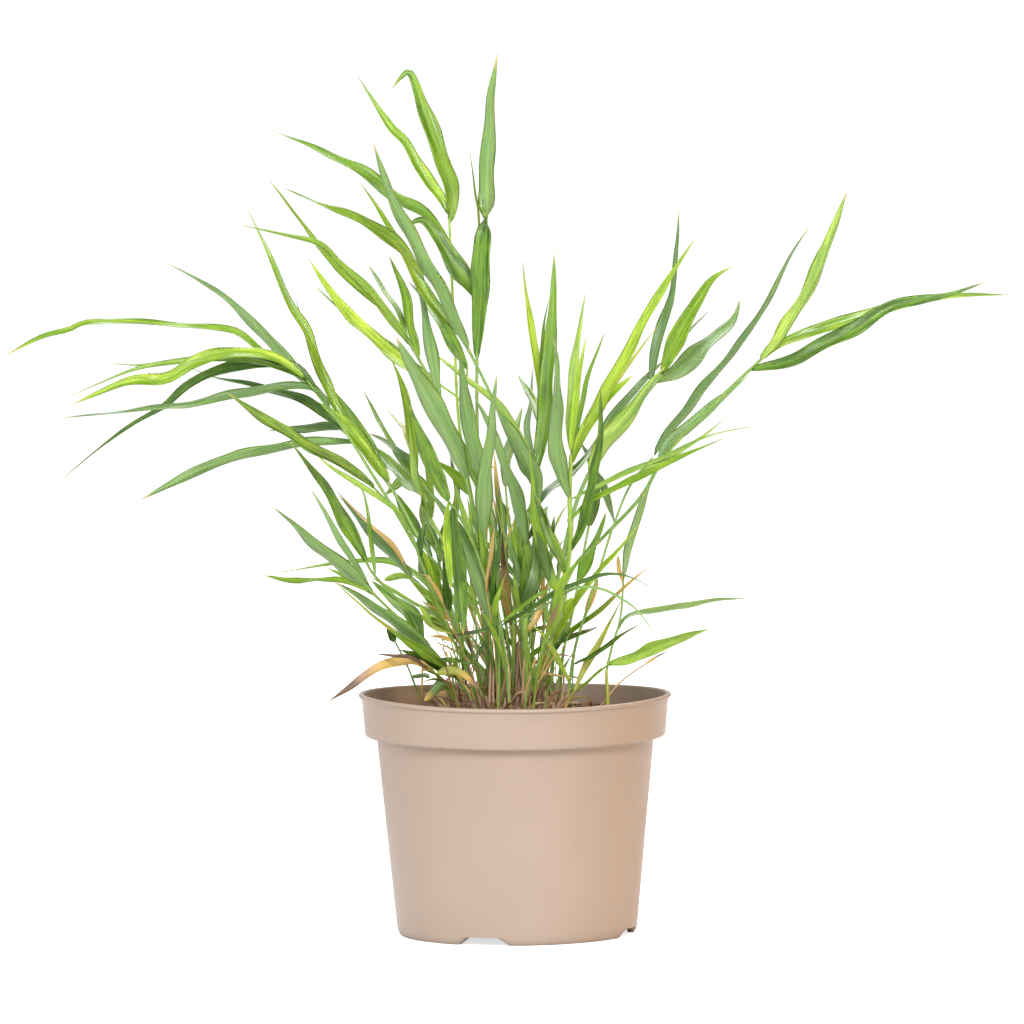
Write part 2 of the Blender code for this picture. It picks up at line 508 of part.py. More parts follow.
def blade_width(leaf, share):
    """The width of a blade at a share of its length."""
    broad = leaf["width"] / max(0.3, abs(math.cos(math.radians(leaf["turn"]))))
    start = BASE_SHARE + (1 - BASE_SHARE) * math.sin(min(1.0, share / WIDEST_AT) * math.pi / 2)
    return max(TIP_WIDTH, broad * start * (1 - share ** leaf["full"]))


def blade_frame(ahead, turn, heading):
    """The blade's sideways direction and its upper face's direction."""
    front = Vector((0, -1, 0))
    facing = (front - ahead * front.dot(ahead)).normalized()
    inward = ahead.cross(facing) * heading
    normal = facing * math.cos(turn) + inward * math.sin(turn)
    return ahead.cross(normal), normal


def blade_rings(leaf, line, extra):
    """Triangular sections along a blade: two edges and the keel under its midrib."""
    heading = 1.0 if line[-1].x < line[0].x else -1.0
    turn = math.radians(leaf["turn"])
    rings = []
    for index, point in enumerate(line):
        share = index / (len(line) - 1)
        ahead = line[min(index + 1, len(line) - 1)] - line[max(index - 1, 0)]
        side, normal = blade_frame(ahead.normalized(), turn, heading)
        half = blade_width(leaf, share) / 2 + extra
        thick = KEEL * (1 - 0.55 * share) + extra
        rings.append((point - side * half + normal * extra,
                      point + side * half + normal * extra, point - normal * thick))
    return rings


def blade_line(leaf, culm, shift, slide):
    """The middle line of a blade, from inside its culm to its tip."""
    x0, z0 = leaf["path"][0]
    best = min(range(len(culm)), key=lambda i: (culm[i] - seen(x0, z0, culm[i].y)).length)
    step = (culm[-1] - culm[0]).length / (len(culm) - 1)
    best = min(len(culm) - 1, max(6, best + round(slide / step)))
    base = culm[best]
    reach = leaf["reach"] + shift
    run = [0.0]
    for (xa, za), (xb, zb) in zip(leaf["path"], leaf["path"][1:]):
        run.append(run[-1] + math.hypot(xb - xa, zb - za))
    points = [base.copy()]
    for (x, z), length in zip(leaf["path"][1:], run[1:]):
        share = length / run[-1]
        points.append(seen(x, z, base.y + leaf["reach"] * share ** 1.15
                           + (reach - leaf["reach"]) * ease(share / 0.4)))
    length = sum((b - a).length for a, b in zip(points, points[1:]))
    count = min(BLADE_MOST_SEGMENTS, max(BLADE_FEWEST_SEGMENTS,
                                         round(length / BLADE_SEGMENT_LENGTH) + 1))
    return smoothed(points, count)


def outer_rings(leaf, culm, move, extra):
    """A blade's sections past the stretch where it lies against its culm."""
    rings = blade_rings(leaf, blade_line(leaf, culm, *move), extra)
    return rings[max(1, round(INNER_SHARE * (len(rings) - 1))):]


def touches(verts, faces, others):
    """How many pairs of triangles meet those of the given trees."""
    tree = BVHTree.FromPolygons(verts, faces)
    return sum(len(tree.overlap(other)) for other in others)


def choose(candidates, shape, others, outer=None, own=()):
    """The first candidate whose shape is clear of the others, or the least bad one.
    Its outer stretch stays clear of the same shoot's blades as well."""
    fewest, chosen = None, None
    for candidate in candidates:
        hits = touches(*shape(candidate), others)
        if not hits and outer:
            hits = touches(*outer(candidate), own)
        if fewest is None or hits < fewest:
            fewest, chosen = hits, candidate
        if not hits:
            break
    return chosen, fewest


def place_shoots():
    """Where every culm and blade goes, with all of them clear of the other shoots."""
    placed, trees = [], []
    for row in SHOOTS:
        radius = row["thickness"] / 2
        pairs = [(f, t) for t in CULM_SHIFTS for f in FOOT_SHIFTS]
        pairs.sort(key=lambda pair: abs(pair[0]) * 2 + abs(pair[1]))

        def culm_shape(pair, row=row, radius=radius):
            return tube(culm_line(row, *pair)[::4], radius + CLEARANCE, 0.35)

        pair, hits = choose(pairs, culm_shape, trees)
        culm = culm_line(row, *pair)
        solid = [BVHTree.FromPolygons(*tube(culm[::4], radius, 0.35))]
        blades, spread = [], []
        for leaf in row["blades"]:
            moves = [(s, m) for m in BASE_SLIDES for s in BLADE_SHIFTS]
            moves.sort(key=lambda move: abs(move[0]) + 4 * abs(move[1]))

            def blade_shape(move, leaf=leaf, culm=culm):
                return loft(blade_rings(leaf, blade_line(leaf, culm, *move), CLEARANCE))

            def outer_shape(move, leaf=leaf, culm=culm):
                return loft(outer_rings(leaf, culm, move, CLEARANCE))

            move, more = choose(moves, blade_shape, trees, outer_shape, spread)
            hits += more
            blades.append(blade_rings(leaf, blade_line(leaf, culm, *move), 0.0))
            spread.append(BVHTree.FromPolygons(*loft(outer_rings(leaf, culm, move, 0.0))))
            solid.append(BVHTree.FromPolygons(*loft(blades[-1])))
        trees += solid
        placed.append({"row": row, "culm": culm, "blades": blades, "hits": hits})
    return placed


def material(name, colour, roughness):
    made = bpy.data.materials.new(name)
    made.use_nodes = True
    surface = made.node_tree.nodes["Principled BSDF"]
    surface.inputs["Base Color"].default_value = (*colour, 1.0)
    surface.inputs["Roughness"].default_value = roughness
    return made


def mesh_object(name, verts, faces, collection):
    """An object from points in millimetres."""
    mesh = bpy.data.meshes.new(name)
    mesh.from_pydata([tuple(point * MM) for point in verts], [], faces)
    made = bpy.data.objects.new(name, mesh)
    collection.objects.link(made)
    return made


def as_cutter(made):
    made.hide_render = True
    made.display_type = "WIRE"


def combine(target, operation, tools):
    """Adds or cuts every mesh of a collection, with exact arithmetic."""
    change = target.modifiers.new(operation.title(), "BOOLEAN")
    change.operation = operation
    change.operand_type = "COLLECTION"
    change.collection = tools
    change.solver = "EXACT"
    change.use_self = True


def turned(name, profile, sides, collection):
    """A solid turned about Z from (radius, height) points, from the axis to the axis."""
    verts = [Vector((radius, 0, height)) for radius, height in profile]
    edges = [(index, index + 1) for index in range(len(verts) - 1)]
    mesh = bpy.data.meshes.new(name)
    mesh.from_pydata([tuple(point * MM) for point in verts], edges, [])
    made = bpy.data.objects.new(name, mesh)
    collection.objects.link(made)
    screw = made.modifiers.new("Screw", "SCREW")
    screw.steps = sides
    screw.render_steps = sides
    screw.use_merge_vertices = True
    screw.merge_threshold = 0.00001
    return made


def evaluated_copy(source, name, collection):
    """A plain mesh of an object as its modifiers leave it; the source is removed."""
    bpy.context.view_layer.update()
    graph = bpy.context.evaluated_depsgraph_get()
    mesh = bpy.data.meshes.new_from_object(source.evaluated_get(graph))
    made = bpy.data.objects.new(name, mesh)
    made.matrix_world = source.matrix_world
    bpy.data.objects.remove(source)
    collection.objects.link(made)
    shape = bmesh.new()
    shape.from_mesh(mesh)
    bmesh.ops.remove_doubles(shape, verts=shape.verts, dist=0.00001)
    bmesh.ops.recalc_face_normals(shape, faces=shape.faces)
    shape.to_mesh(mesh)
    shape.free()
    return made


def pot_profile():
    """Outer side from the lip down, the foot ring, and back up the inside."""
    collar_low = POT_HEIGHT - COLLAR_HEIGHT
    inner_top = COLLAR_TOP_RADIUS - WALL
    ring_inner = BASE_RADIUS - FOOT_RING_WIDTH
    floor = FOOT_HEIGHT + PLATE
    return (
        (0.0, floor),
        (BASE_RADIUS - WALL - 0.8, floor),
        (BODY_TOP_RADIUS - WALL, collar_low + 0.6),
        (COLLAR_LOW_RADIUS - WALL, collar_low + 3.0),
        (inner_top, POT_HEIGHT),
        (RIM_RADIUS - 0.6, POT_HEIGHT),
        (RIM_RADIUS, POT_HEIGHT - 0.7),
        (RIM_RADIUS - 0.1, POT_HEIGHT - LIP_HEIGHT),
        (COLLAR_TOP_RADIUS, POT_HEIGHT - LIP_HEIGHT - 0.3),
        (COLLAR_LOW_RADIUS, collar_low + 1.0),
        (COLLAR_LOW_RADIUS - 1.2, collar_low),
        (BODY_TOP_RADIUS, collar_low - 0.4),
        (BASE_RADIUS + 0.3, 3.2),
        (BASE_RADIUS - 2.0, 0.0),
        (ring_inner, 0.0),
        (ring_inner - 0.4, FOOT_HEIGHT),
        (0.0, FOOT_HEIGHT),
    )


def notch_cutters(collection):
    """Tapered slots through the foot ring, and a drain hole behind each."""
    reach = FOOT_RING_WIDTH + 6.0
    for index in range(NOTCH_COUNT):
        angle = math.radians(NOTCH_FIRST_ANGLE + index * 360.0 / NOTCH_COUNT)
        bpy.ops.mesh.primitive_cube_add(size=1.0)
        notch = bpy.context.object
        middle = BASE_RADIUS - FOOT_RING_WIDTH / 2
        for vert in notch.data.vertices:
            high = vert.co.z > 0
            width = NOTCH_WIDTH_HIGH if high else NOTCH_WIDTH_LOW
            vert.co.x *= reach * MM
            vert.co.y *= width * MM
            vert.co.z = (FOOT_HEIGHT - 0.2 if high else -1.0) * MM
        notch.location = (middle * MM * math.cos(angle), middle * MM * math.sin(angle), 0)
        notch.rotation_euler = (0, 0, angle)
        radius = DRAIN_CENTRE_RADIUS * MM
        bpy.ops.mesh.primitive_cylinder_add(
            vertices=12, radius=DRAIN_RADIUS * MM, depth=10 * MM,
            location=(radius * math.cos(angle), radius * math.sin(angle), FOOT_HEIGHT * MM))
        for cutter in (notch, bpy.context.object):
            cutter.name = f"pot_cutter_{index}"
            for home in list(cutter.users_collection):
                home.objects.unlink(cutter)
            collection.objects.link(cutter)
            as_cutter(cutter)


def make_pot(parts, cutters):
    pot = evaluated_copy(turned("pot_turned", pot_profile(), POT_SIDES, parts), "pot", parts)
    tools = bpy.data.collections.new("pot cutters")
    cutters.children.link(tools)
    notch_cutters(tools)
    combine(pot, "DIFFERENCE", tools)
    pot.data.materials.append(material(*PLASTIC))
    return pot


def make_soil(parts):
    """A plug that fills the pot, with a lumpy top."""
    floor = FOOT_HEIGHT + PLATE + GAP
    collar_low = POT_HEIGHT - COLLAR_HEIGHT
    inset = WALL + GAP + 0.15
    rings = (66.0, 40.0)
    profile = [
        (0.0, SOIL_MIDDLE_HEIGHT),
        *[(radius, SOIL_EDGE_HEIGHT) for radius in reversed(rings)],
        (COLLAR_LOW_RADIUS - inset - 0.2, SOIL_EDGE_HEIGHT - 1.0),
        (COLLAR_LOW_RADIUS - inset - 0.4, collar_low + 3.9),
        (BODY_TOP_RADIUS - inset - 0.2, collar_low + 0.9),
        (BASE_RADIUS - inset - 1.2, floor),
        (0.0, floor),
    ]
    soil = evaluated_copy(turned("soil_profile", profile, SOIL_SIDES, parts), "soil", parts)
    for vert in soil.data.vertices:
        x, y, z = (value / MM for value in vert.co)
        if z > SOIL_EDGE_HEIGHT - 0.5:
            vert.co.z = soil_height(x, y) * MM
    soil.data.materials.append(material(*EARTH))
    return soil


def stub_places(feet):
    """Spots for the old cut culms, spread over the crown and clear of the living feet."""
    spots = []
    for index in range(90):
        share = math.sqrt((index + 0.5) / 90)
        angle = index * 2.39996
        x = CROWN_CENTRE[0] + 0.86 * CROWN_RADII[0] * share * math.cos(angle)
        y = CROWN_CENTRE[1] + 0.86 * CROWN_RADII[1] * share * math.sin(angle)
        clear = all(math.hypot(x - fx, y - fy) > 5.2 for fx, fy in feet + spots)
        if clear and len(spots) < STUB_COUNT:
            spots.append((x, y))
    return spots


def make_crown(parts, cutters, feet, trees):
    """A low mound of matted bases, with the stubs of last year's culms on it."""
    shape = bmesh.new()
    bmesh.ops.create_uvsphere(shape, u_segments=14, v_segments=6, radius=1.0)
    low = [vert for vert in shape.verts if vert.co.z < -0.05]
    bmesh.ops.delete(shape, geom=low, context="VERTS")
    rim = [edge for edge in shape.edges if edge.is_boundary]
    bmesh.ops.contextual_create(shape, geom=rim)
    bmesh.ops.recalc_face_normals(shape, faces=shape.faces)
    floor = SOIL_MIDDLE_HEIGHT + 0.7 + GAP
    top = SOIL_EDGE_HEIGHT + 1.6 + GAP + CROWN_HEIGHT
    for vert in shape.verts:
        vert.co.x = (CROWN_CENTRE[0] + CROWN_RADII[0] * 0.97 * vert.co.x) * MM
        vert.co.y = (CROWN_CENTRE[1] + CROWN_RADII[1] * 0.97 * vert.co.y) * MM
        vert.co.z = (floor + (top - 0.3 - floor) * vert.co.z) * MM
    mesh = bpy.data.meshes.new("crown")
    shape.to_mesh(mesh)
    shape.free()
    crown = bpy.data.objects.new("crown", mesh)
    parts.objects.link(crown)
    tools = bpy.data.collections.new("crown stubs")
    cutters.children.link(tools)
    for index, (x, y) in enumerate(stub_places(feet)):
        base = ground_height(x, y)
        lean = Vector((x - CROWN_CENTRE[0], y - CROWN_CENTRE[1], 40)).normalized()
        height = 7.0 + 5.0 * ((index * 7) % 5) / 4
        start = Vector((x, y, base)) - lean * 3.5
        stub_line = [start, start + lean * (height + 3.5)]
        fat = tube(stub_line, STUB_RADIUS + CLEARANCE, 0.0, 5)
        if touches(*fat, trees):
            continue
        verts, faces = tube(stub_line, STUB_RADIUS, 0.15, 5)
        faces += [(4, 3, 2, 1, 0), (5, 6, 7, 8, 9)]
        stub = mesh_object(f"stub_{index}", verts, faces, tools)
        recalculate(stub)
        as_cutter(stub)
    combine(crown, "UNION", tools)
    crown.data.materials.append(material(*STUBBLE))
    return crown


def recalculate(made):
    """Turns every face of a closed mesh outwards."""
    shape = bmesh.new()
    shape.from_mesh(made.data)
    bmesh.ops.recalc_face_normals(shape, faces=shape.faces)
    shape.to_mesh(made.data)
    shape.free()


def make_culm(name, line, radius, taper, collection):
    """A tapered round stem with closed ends, as a mesh."""
    curve = bpy.data.curves.new(name, "CURVE")
    curve.dimensions = "3D"
    curve.bevel_depth = radius * MM
    curve.bevel_resolution = 0
    curve.use_fill_caps = True
    spline = curve.splines.new("POLY")
    spline.points.add(len(line) - 1)
    for index, (point, place) in enumerate(zip(line, spline.points)):
        place.co = (*(point * MM), 1.0)
        place.radius = 1 - taper * index / (len(line) - 1)
    stem = bpy.data.objects.new(name + "_curve", curve)
    collection.objects.link(stem)
    return evaluated_copy(stem, name, collection)


def make_shoot(number, placed, parts, cutters, materials):
    """One culm with its blades joined to it."""
    name = f"shoot_{number:02d}"
    line = placed["culm"]
    bends = [line[index] for index in culm_bends()]
    culm = make_culm(name, bends, placed["row"]["thickness"] / 2, 0.35, parts)
    tools = bpy.data.collections.new(name + " blades")
    cutters.children.link(tools)
    for index, rings in enumerate(placed["blades"]):
        leaf = mesh_object(f"{name}_blade_{index}", *loft(rings), tools)
        recalculate(leaf)
        as_cutter(leaf)
    combine(culm, "UNION", tools)
    culm.data.materials.clear()
    culm.data.materials.append(materials[placed["row"]["tone"]])
    return culm


def main():
    for old in list(bpy.data.objects):
        bpy.data.objects.remove(old)
    parts = bpy.data.collections.new("potted grass")
    cutters = bpy.data.collections.new("cutters")
    for made in (parts, cutters):
        bpy.context.scene.collection.children.link(made)
    placed = place_shoots()
    make_pot(parts, cutters)
    make_soil(parts)
    feet = [(row["culm"][0].x, row["culm"][0].y) for row in placed]
    trees = []
    for row in placed:
        trees.append(BVHTree.FromPolygons(*tube(row["culm"][::4], row["row"]["thickness"] / 2, 0.35)))
        trees += [BVHTree.FromPolygons(*loft(rings)) for rings in row["blades"]]
    make_crown(parts, cutters, feet, trees)
    materials = {name: material("leaf " + name, colour, 0.55)
                 for name, colour in LEAF_COLOURS.items()}
    for number, row in enumerate(placed, start=1):
        make_shoot(number, row, parts, cutters, materials)
    return placed


if __name__ == "__main__":
    PLACED = main()
    for NUMBER, ROW in enumerate(PLACED, start=1):
        if ROW["hits"]:
            print(f"shoot_{NUMBER:02d} still meets another shoot at {ROW['hits']} places")
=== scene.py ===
"""Looks for a clump of leafy ornamental grass in a round taupe nursery pot.

Lengths are millimetres until a mesh is finished. Shoots are laid out as the front elevation
shows them: a point is (x, z) on the pot's middle plane, seen by an eye in front of the pot,
and a depth behind that plane. Leaves and culms are laid on the solids of the frame.
"""

import math
import random

import bmesh
import bpy
from mathutils import Matrix, Vector, noise
from mathutils.bvhtree import BVHTree


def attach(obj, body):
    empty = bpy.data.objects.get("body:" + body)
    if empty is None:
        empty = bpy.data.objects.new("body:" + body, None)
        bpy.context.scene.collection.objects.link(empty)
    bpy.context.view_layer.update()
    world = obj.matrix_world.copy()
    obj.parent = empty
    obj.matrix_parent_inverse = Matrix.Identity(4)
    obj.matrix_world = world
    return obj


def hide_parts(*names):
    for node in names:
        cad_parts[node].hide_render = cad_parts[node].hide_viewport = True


MM = 0.001

# Pot, turned about Z
RIM_RADIUS = 85.0
COLLAR_TOP_RADIUS = 83.4
COLLAR_LOW_RADIUS = 81.9
BODY_TOP_RADIUS = 75.5
BASE_RADIUS = 65.3
POT_HEIGHT = 131.0
LIP_HEIGHT = 2.2
COLLAR_HEIGHT = 23.0
COLLAR_FOOT = POT_HEIGHT - COLLAR_HEIGHT
WALL = 1.6
FOOT_HEIGHT = 4.5
FOOT_RING_WIDTH = 5.0
PLATE = 1.8
POT_STEPS = 192
POT_SHARP_ANGLE = 50
NOTCH_COUNT = 4
NOTCH_FIRST_ANGLE = -107.0
NOTCH_WIDTH_LOW = 30.0
NOTCH_WIDTH_HIGH = 17.0
# How far the rim is out of true, and from which height up the pot is
RIM_DIP = 0.3
RIM_OVAL = 0.0035
WARP_START = 60

# Soil and the crown of old cut culms on it
GAP = 0.35
SOIL_EDGE_HEIGHT = 118.5
SOIL_MIDDLE_HEIGHT = 120.5
SOIL_STEPS = 120
SOIL_RINGS = 40
SOIL_LUMP = 0.7
SOIL_SHARP_ANGLE = 40
CROWN_CENTRE = (-8.0, 0.0)
CROWN_RADII = (36.0, 32.0)
CROWN_HEIGHT = 9.0
CROWN_SEAT = SOIL_EDGE_HEIGHT + 1.6 + GAP
CROWN_SHARP_ANGLE = 60

# The eye of the front elevation, and the camera at it
EYE_DISTANCE = 4000.0
EYE_HEIGHT = 459.0
AIM = (-0.5, 230.3)
LENS = 258.5
SENSOR_WIDTH = 36.0
CAMERA_ROLL = -0.6
CAMERA_FAR_METRES = 50.0

# Studio, in metres: name, place, height that it is aimed at, size, power and tint
WHITE_LIGHT = (1.0, 1.0, 1.0)
WARM_LIGHT = (1.0, 0.55, 0.26)
LIGHTS = (
    ("key softbox", (0.5, -2.4, 1.6), 0.2, 0.9, 55, WHITE_LIGHT),
    ("strip light", (2.0, -2.1, 0.6), 0.1, 0.25, 14, WHITE_LIGHT),
    ("left softbox", (-2.0, -1.8, 1.2), 0.25, 1.3, 32, WHITE_LIGHT),
    ("warm side light", (2.2, 0.2, 0.7), 0.15, 1.0, 11, WARM_LIGHT),
    ("back softbox", (0.2, 1.8, 2.2), 0.3, 1.8, 54, WHITE_LIGHT),
)
FLOOR_RADIUS = 40.0
FLOOR_GLOW = 0.7
SURROUND_LIGHT = 0.58
SURROUND_SHOWN = 1.1

# The middle line of a culm, straight from bend to bend in its solid
CULM_POINTS = 60
CULM_RISER = 3
RISER_HEIGHT = 3
CULM_SEGMENTS = 5
CULM_TAPER = 0.35
CULM_LEAN = 0.80
FOOT_LIFT = 0.3
FOOT_ANGLES = (0.0, 1.05, 2.09, 3.14, 4.19, 5.24)
CLEARANCE = 0.45

# The middle line and the width of a blade
BLADE_SEGMENT_LENGTH = 38.0
BLADE_FEWEST_SEGMENTS = 3
BLADE_MOST_SEGMENTS = 6
LOWEST_BLADE_START = 6
BASE_SHARE = 0.32
WIDEST_AT = 0.34
TIP_WIDTH = 0.5
BLUNT_FULLNESS = 7.0
# How much broader leaves are drawn than their solids, for the photo's covered area
LEAF_BREADTH = 1.13

# Depth changes that the solids' shoots and blades may have been given
CULM_SHIFTS = (0, 6, -6, 12, -12, 18, -18, 26, -26, 36, -36)
FOOT_SHIFTS = (0, 3.2, -3.2, 6.4, -6.4, 9.6, -9.6)
BLADE_SHIFTS = (0, 5, -5, 10, -10, 16, -16, 24, -24, 34, -34, 46, -46, 60, -60)
BASE_SLIDES = (0, 5, -5, 10, -10, 16, -16)

# Form of a leaf: angles across it in radians, depths as shares of its half width
LEAF_ROWS = 40
LEAF_AROUND = 14
LEAF_THICKNESS = 0.34
BASE_WRAP = 2.6
TROUGH = 0.6
FOLD = 0.34
EDGE_WAVE = 0.24
EDGE_RIPPLE = 0.09
LEAF_SINK = 0.25
MIDRIB_DEPTH = 0.4
MIDRIB_SHARE = 0.13
LEAF_SWAY = 15
TWIST_LENGTH = 0.16

# Form of a culm: how much thicker its sheaths, collars and joints are, and how long
CULM_ROW_STEP = 1.7
CULM_AROUND = 10
SHEATH_SWELL = 0.16
SHEATH_LENGTH = 45
SHEATH_FADE = 60
COLLAR_SWELL = 0.10
COLLAR_LENGTH = 2.0
JOINT_SWELL = 0.22
JOINT_LENGTH = 1.3
JOINT_ROWS = 21

# The crowded stems over the crown, which young stems and joint leaves stay in
THICKET_LEFT = -52.0
THICKET_RIGHT = 33.0
THICKET_TOP = 238.0
YOUNG_STEMS = 3
LONG_CULM = 70
YOUNG_STEM_REACH = (26, 118)
YOUNG_STEM_ASIDE = (2.0, 8.0)
YOUNG_STEM_SPREAD = (-1.5, 4.0)
YOUNG_STEM_RADIUS = (0.26, 0.62)
YOUNG_STEM_TONES = ((0.7, 1.0), (0.4, 1.0))
DEAD_SHARE = 0.22
DEAD_DRYNESS = (0.0, 0.6, 0.7, 0.84, 1.0)
JOINT_LEAVES = 6
DRY_LEAF_SHARE = 0.35
DRY_LEAF_TOP = 175
NARROW_SLANT = (0.15, 0.75)
NARROW_LENGTH = (26, 68)
NARROW_SHORTEST = 14
NARROW_DROOP = (0.0, 0.25)
NARROW_WIDTH = (2.2, 4.9)
NARROW_TURNS = (15, 35, 55, 140, 155)
NARROW_LOW = 165

# Crumbs and chips of bark on the soil
CRUMB_SEED = 71
CRUMB_COUNT = 760
CHIP_SHARE = 0.28
CHIP_SIZES = ((2.5, 6.5), (1.5, 3.4), (0.6, 1.6))
CRUMB_SIZES = ((0.8, 2.2),) * 3

# Cut stubs, scraps of sheath and thin dead stems in the crown
CROWN_SEED = 29
GOLDEN_ANGLE = 2.39996
STUB_COUNT = 130
STUB_LEAN = (0.2, 0.9)
STUB_HEIGHT = (5, 15)
STUB_EXTRA_HEIGHT = (0, 9)
STUB_RADIUS = (0.4, 1.15)
STUB_TONES = ((0.3, 0.9), (0.0, 0.3), (0.75, 1.0))
SCRAP_COUNT = 90
SCRAP_LENGTH = (7, 20)
SCRAP_RISE = (0.15, 0.9)
SCRAP_WIDTH = (1.4, 3.6)
SCRAP_CURL = 1.8
SCRAP_TONES = ((0.3, 0.9), (0.0, 0.2), (0.7, 1.0))
DEAD_STEM_COUNT = 18
DEAD_STEM_HEIGHT = (16, 46)
DEAD_STEM_RADIUS = (0.25, 0.6)
DEAD_STEM_TONES = ("brown", "bark", "tan", "brown", "bark")

# How yellow-green, how grey with bloom, and how dry the seen side of a leaf is, 0 to 1
TONES = {
    "dark": (0.04, 0.12, 0.0),
    "shade": (0.04, 0.45, 0.0),
    "deep": (0.22, 0.10, 0.0),
    "mid": (0.42, 0.10, 0.0),
    "bright": (0.62, 0.0, 0.0),
    "lime": (0.88, 0.0, 0.0),
    "glaucous": (0.32, 0.85, 0.0),
    "silver": (0.60, 1.0, 0.02),
    "pale": (0.78, 0.35, 0.03),
    "olive": (0.70, 0.0, 0.28),
    "yellow": (1.0, 0.0, 0.62),
    "tan": (0.7, 0.1, 0.68),
    "bark": (0.4, 0.0, 0.84),
    "brown": (0.2, 0.0, 1.0),
}
FRESH_TONES = ("mid", "mid", "bright", "lime", "glaucous", "deep", "dark", "pale")
DRY_TONES = ("tan", "bark", "tan", "yellow", "olive")
CULM_TONES = {
    "green": (0.55, 0.35, 0.0),
    "lime": (0.90, 0.20, 0.0),
    "grey": (0.60, 0.60, 0.0),
    "straw": (0.75, 0.10, 0.75),
}
CULM_FOOT_TONE = (0.5, 0.5, 0.85)
JOINT_TONE = (0.35, 0.2, 0.6)


def colour(red, green, blue):
    """A colour as a shader takes it, with full alpha."""
    return (red, green, blue, 1.0)


# Colours of leaves; the last four are factors on a leaf's own colour
DARK_GREEN = colour(0.055, 0.150, 0.006)
MID_GREEN = colour(0.240, 0.435, 0.018)
LIME_GREEN = colour(0.610, 0.790, 0.070)
BLOOM_GREEN = colour(0.330, 0.520, 0.205)
STRAW = colour(0.760, 0.550, 0.170)
BARK = colour(0.500, 0.315, 0.200)
DEAD_BROWN = colour(0.190, 0.105, 0.055)
RIB_GREEN = colour(0.50, 0.66, 0.22)
VEIN_SHADE = colour(0.45, 0.62, 0.42)
# Lighter leaf edges: partly a pale margin, partly a painted highlight along the edge
PALE_MARGIN_AND_EDGE_HIGHLIGHT = colour(1.7, 1.45, 1.1)
# Painted light: one half of a leaf, beside its midrib fold, drawn lighter as if lit
PAINTED_LIT_HALF = colour(1.9, 1.5, 2.6)
LIGHT_THROUGH = colour(1.25, 1.2, 0.55)

# Colours of the pot, the soil and the studio; the painted warm shade on the pot's right side is a
# factor
# TAUPE_LOW at the foot blends into the darker TAUPE_HIGH at the collar: painted shade on the
# collar
TAUPE_LOW = colour(0.415, 0.318, 0.252)
TAUPE_HIGH = colour(0.385, 0.290, 0.227)
TAUPE_DUST = colour(0.48, 0.385, 0.315)
TAUPE_SPECK = colour(0.29, 0.21, 0.16)
PAINTED_WARM_SHADE_RIGHT = colour(0.90, 0.83, 0.72)
# Painted shade for the inside of the pot and under its base plate
PAINTED_INSIDE_SHADE = colour(0.17, 0.125, 0.095)
PEAT_COLOURS = (colour(0.035, 0.020, 0.013), colour(0.110, 0.058, 0.032))
CHIP_COLOURS = (colour(0.130, 0.055, 0.028), colour(0.300, 0.150, 0.075))
SOIL_PATCH = colour(0.20, 0.105, 0.055)
SOIL_SPECK = colour(0.40, 0.30, 0.20)
FLOOR_GREY = colour(0.80, 0.80, 0.80)
WHITE = colour(1.0, 1.0, 1.0)
WARM_SURROUND = colour(0.55, 0.38, 0.26)

# Leaf materials: name, veining, dryness of tips, light let through and where a tip starts
LEAF_LOOKS = {
    "green": ("fresh green leaf", 0.55, 0.5, 0.30, 0.9),
    "lime": ("young lime leaf", 0.40, 0.35, 0.32, 0.9),
    "grey": ("leaf with grey bloom", 0.50, 0.5, 0.28, 0.9),
    "straw": ("dry straw leaf", 0.70, 0.6, 0.28, 0.35),
}
STUBBLE_LOOK = ("dry stubble", 0.75, 0.0, 0.10, 0.9)


def blade(tone, seen_width, turn, reach, *path, blunt=False, full=2.2, twist=None):
    """One leaf: its width as seen, its turn about its own line (0 shows the upper face to
    the front, 90 its edge, 180 its underside), how far back its tip goes, and its path.
    A full leaf keeps its width further along. A twist is where along the leaf it turns over,
    and by how many degrees."""
    return {"tone": tone, "width": seen_width, "turn": turn, "reach": reach, "path": path,
            "full": BLUNT_FULLNESS if blunt else full, "twist": twist}


def shoot(tone, thickness, foot_depth, top_depth, path, *blades, stem=None):
    """One culm from its foot to its top, the blades that grow from it, and the culm's own
    tone where that isn't its leaves'."""
    return {"tone": tone, "thickness": thickness, "foot": foot_depth, "stem": stem or tone,
            "top": top_depth, "path": path, "blades": blades}


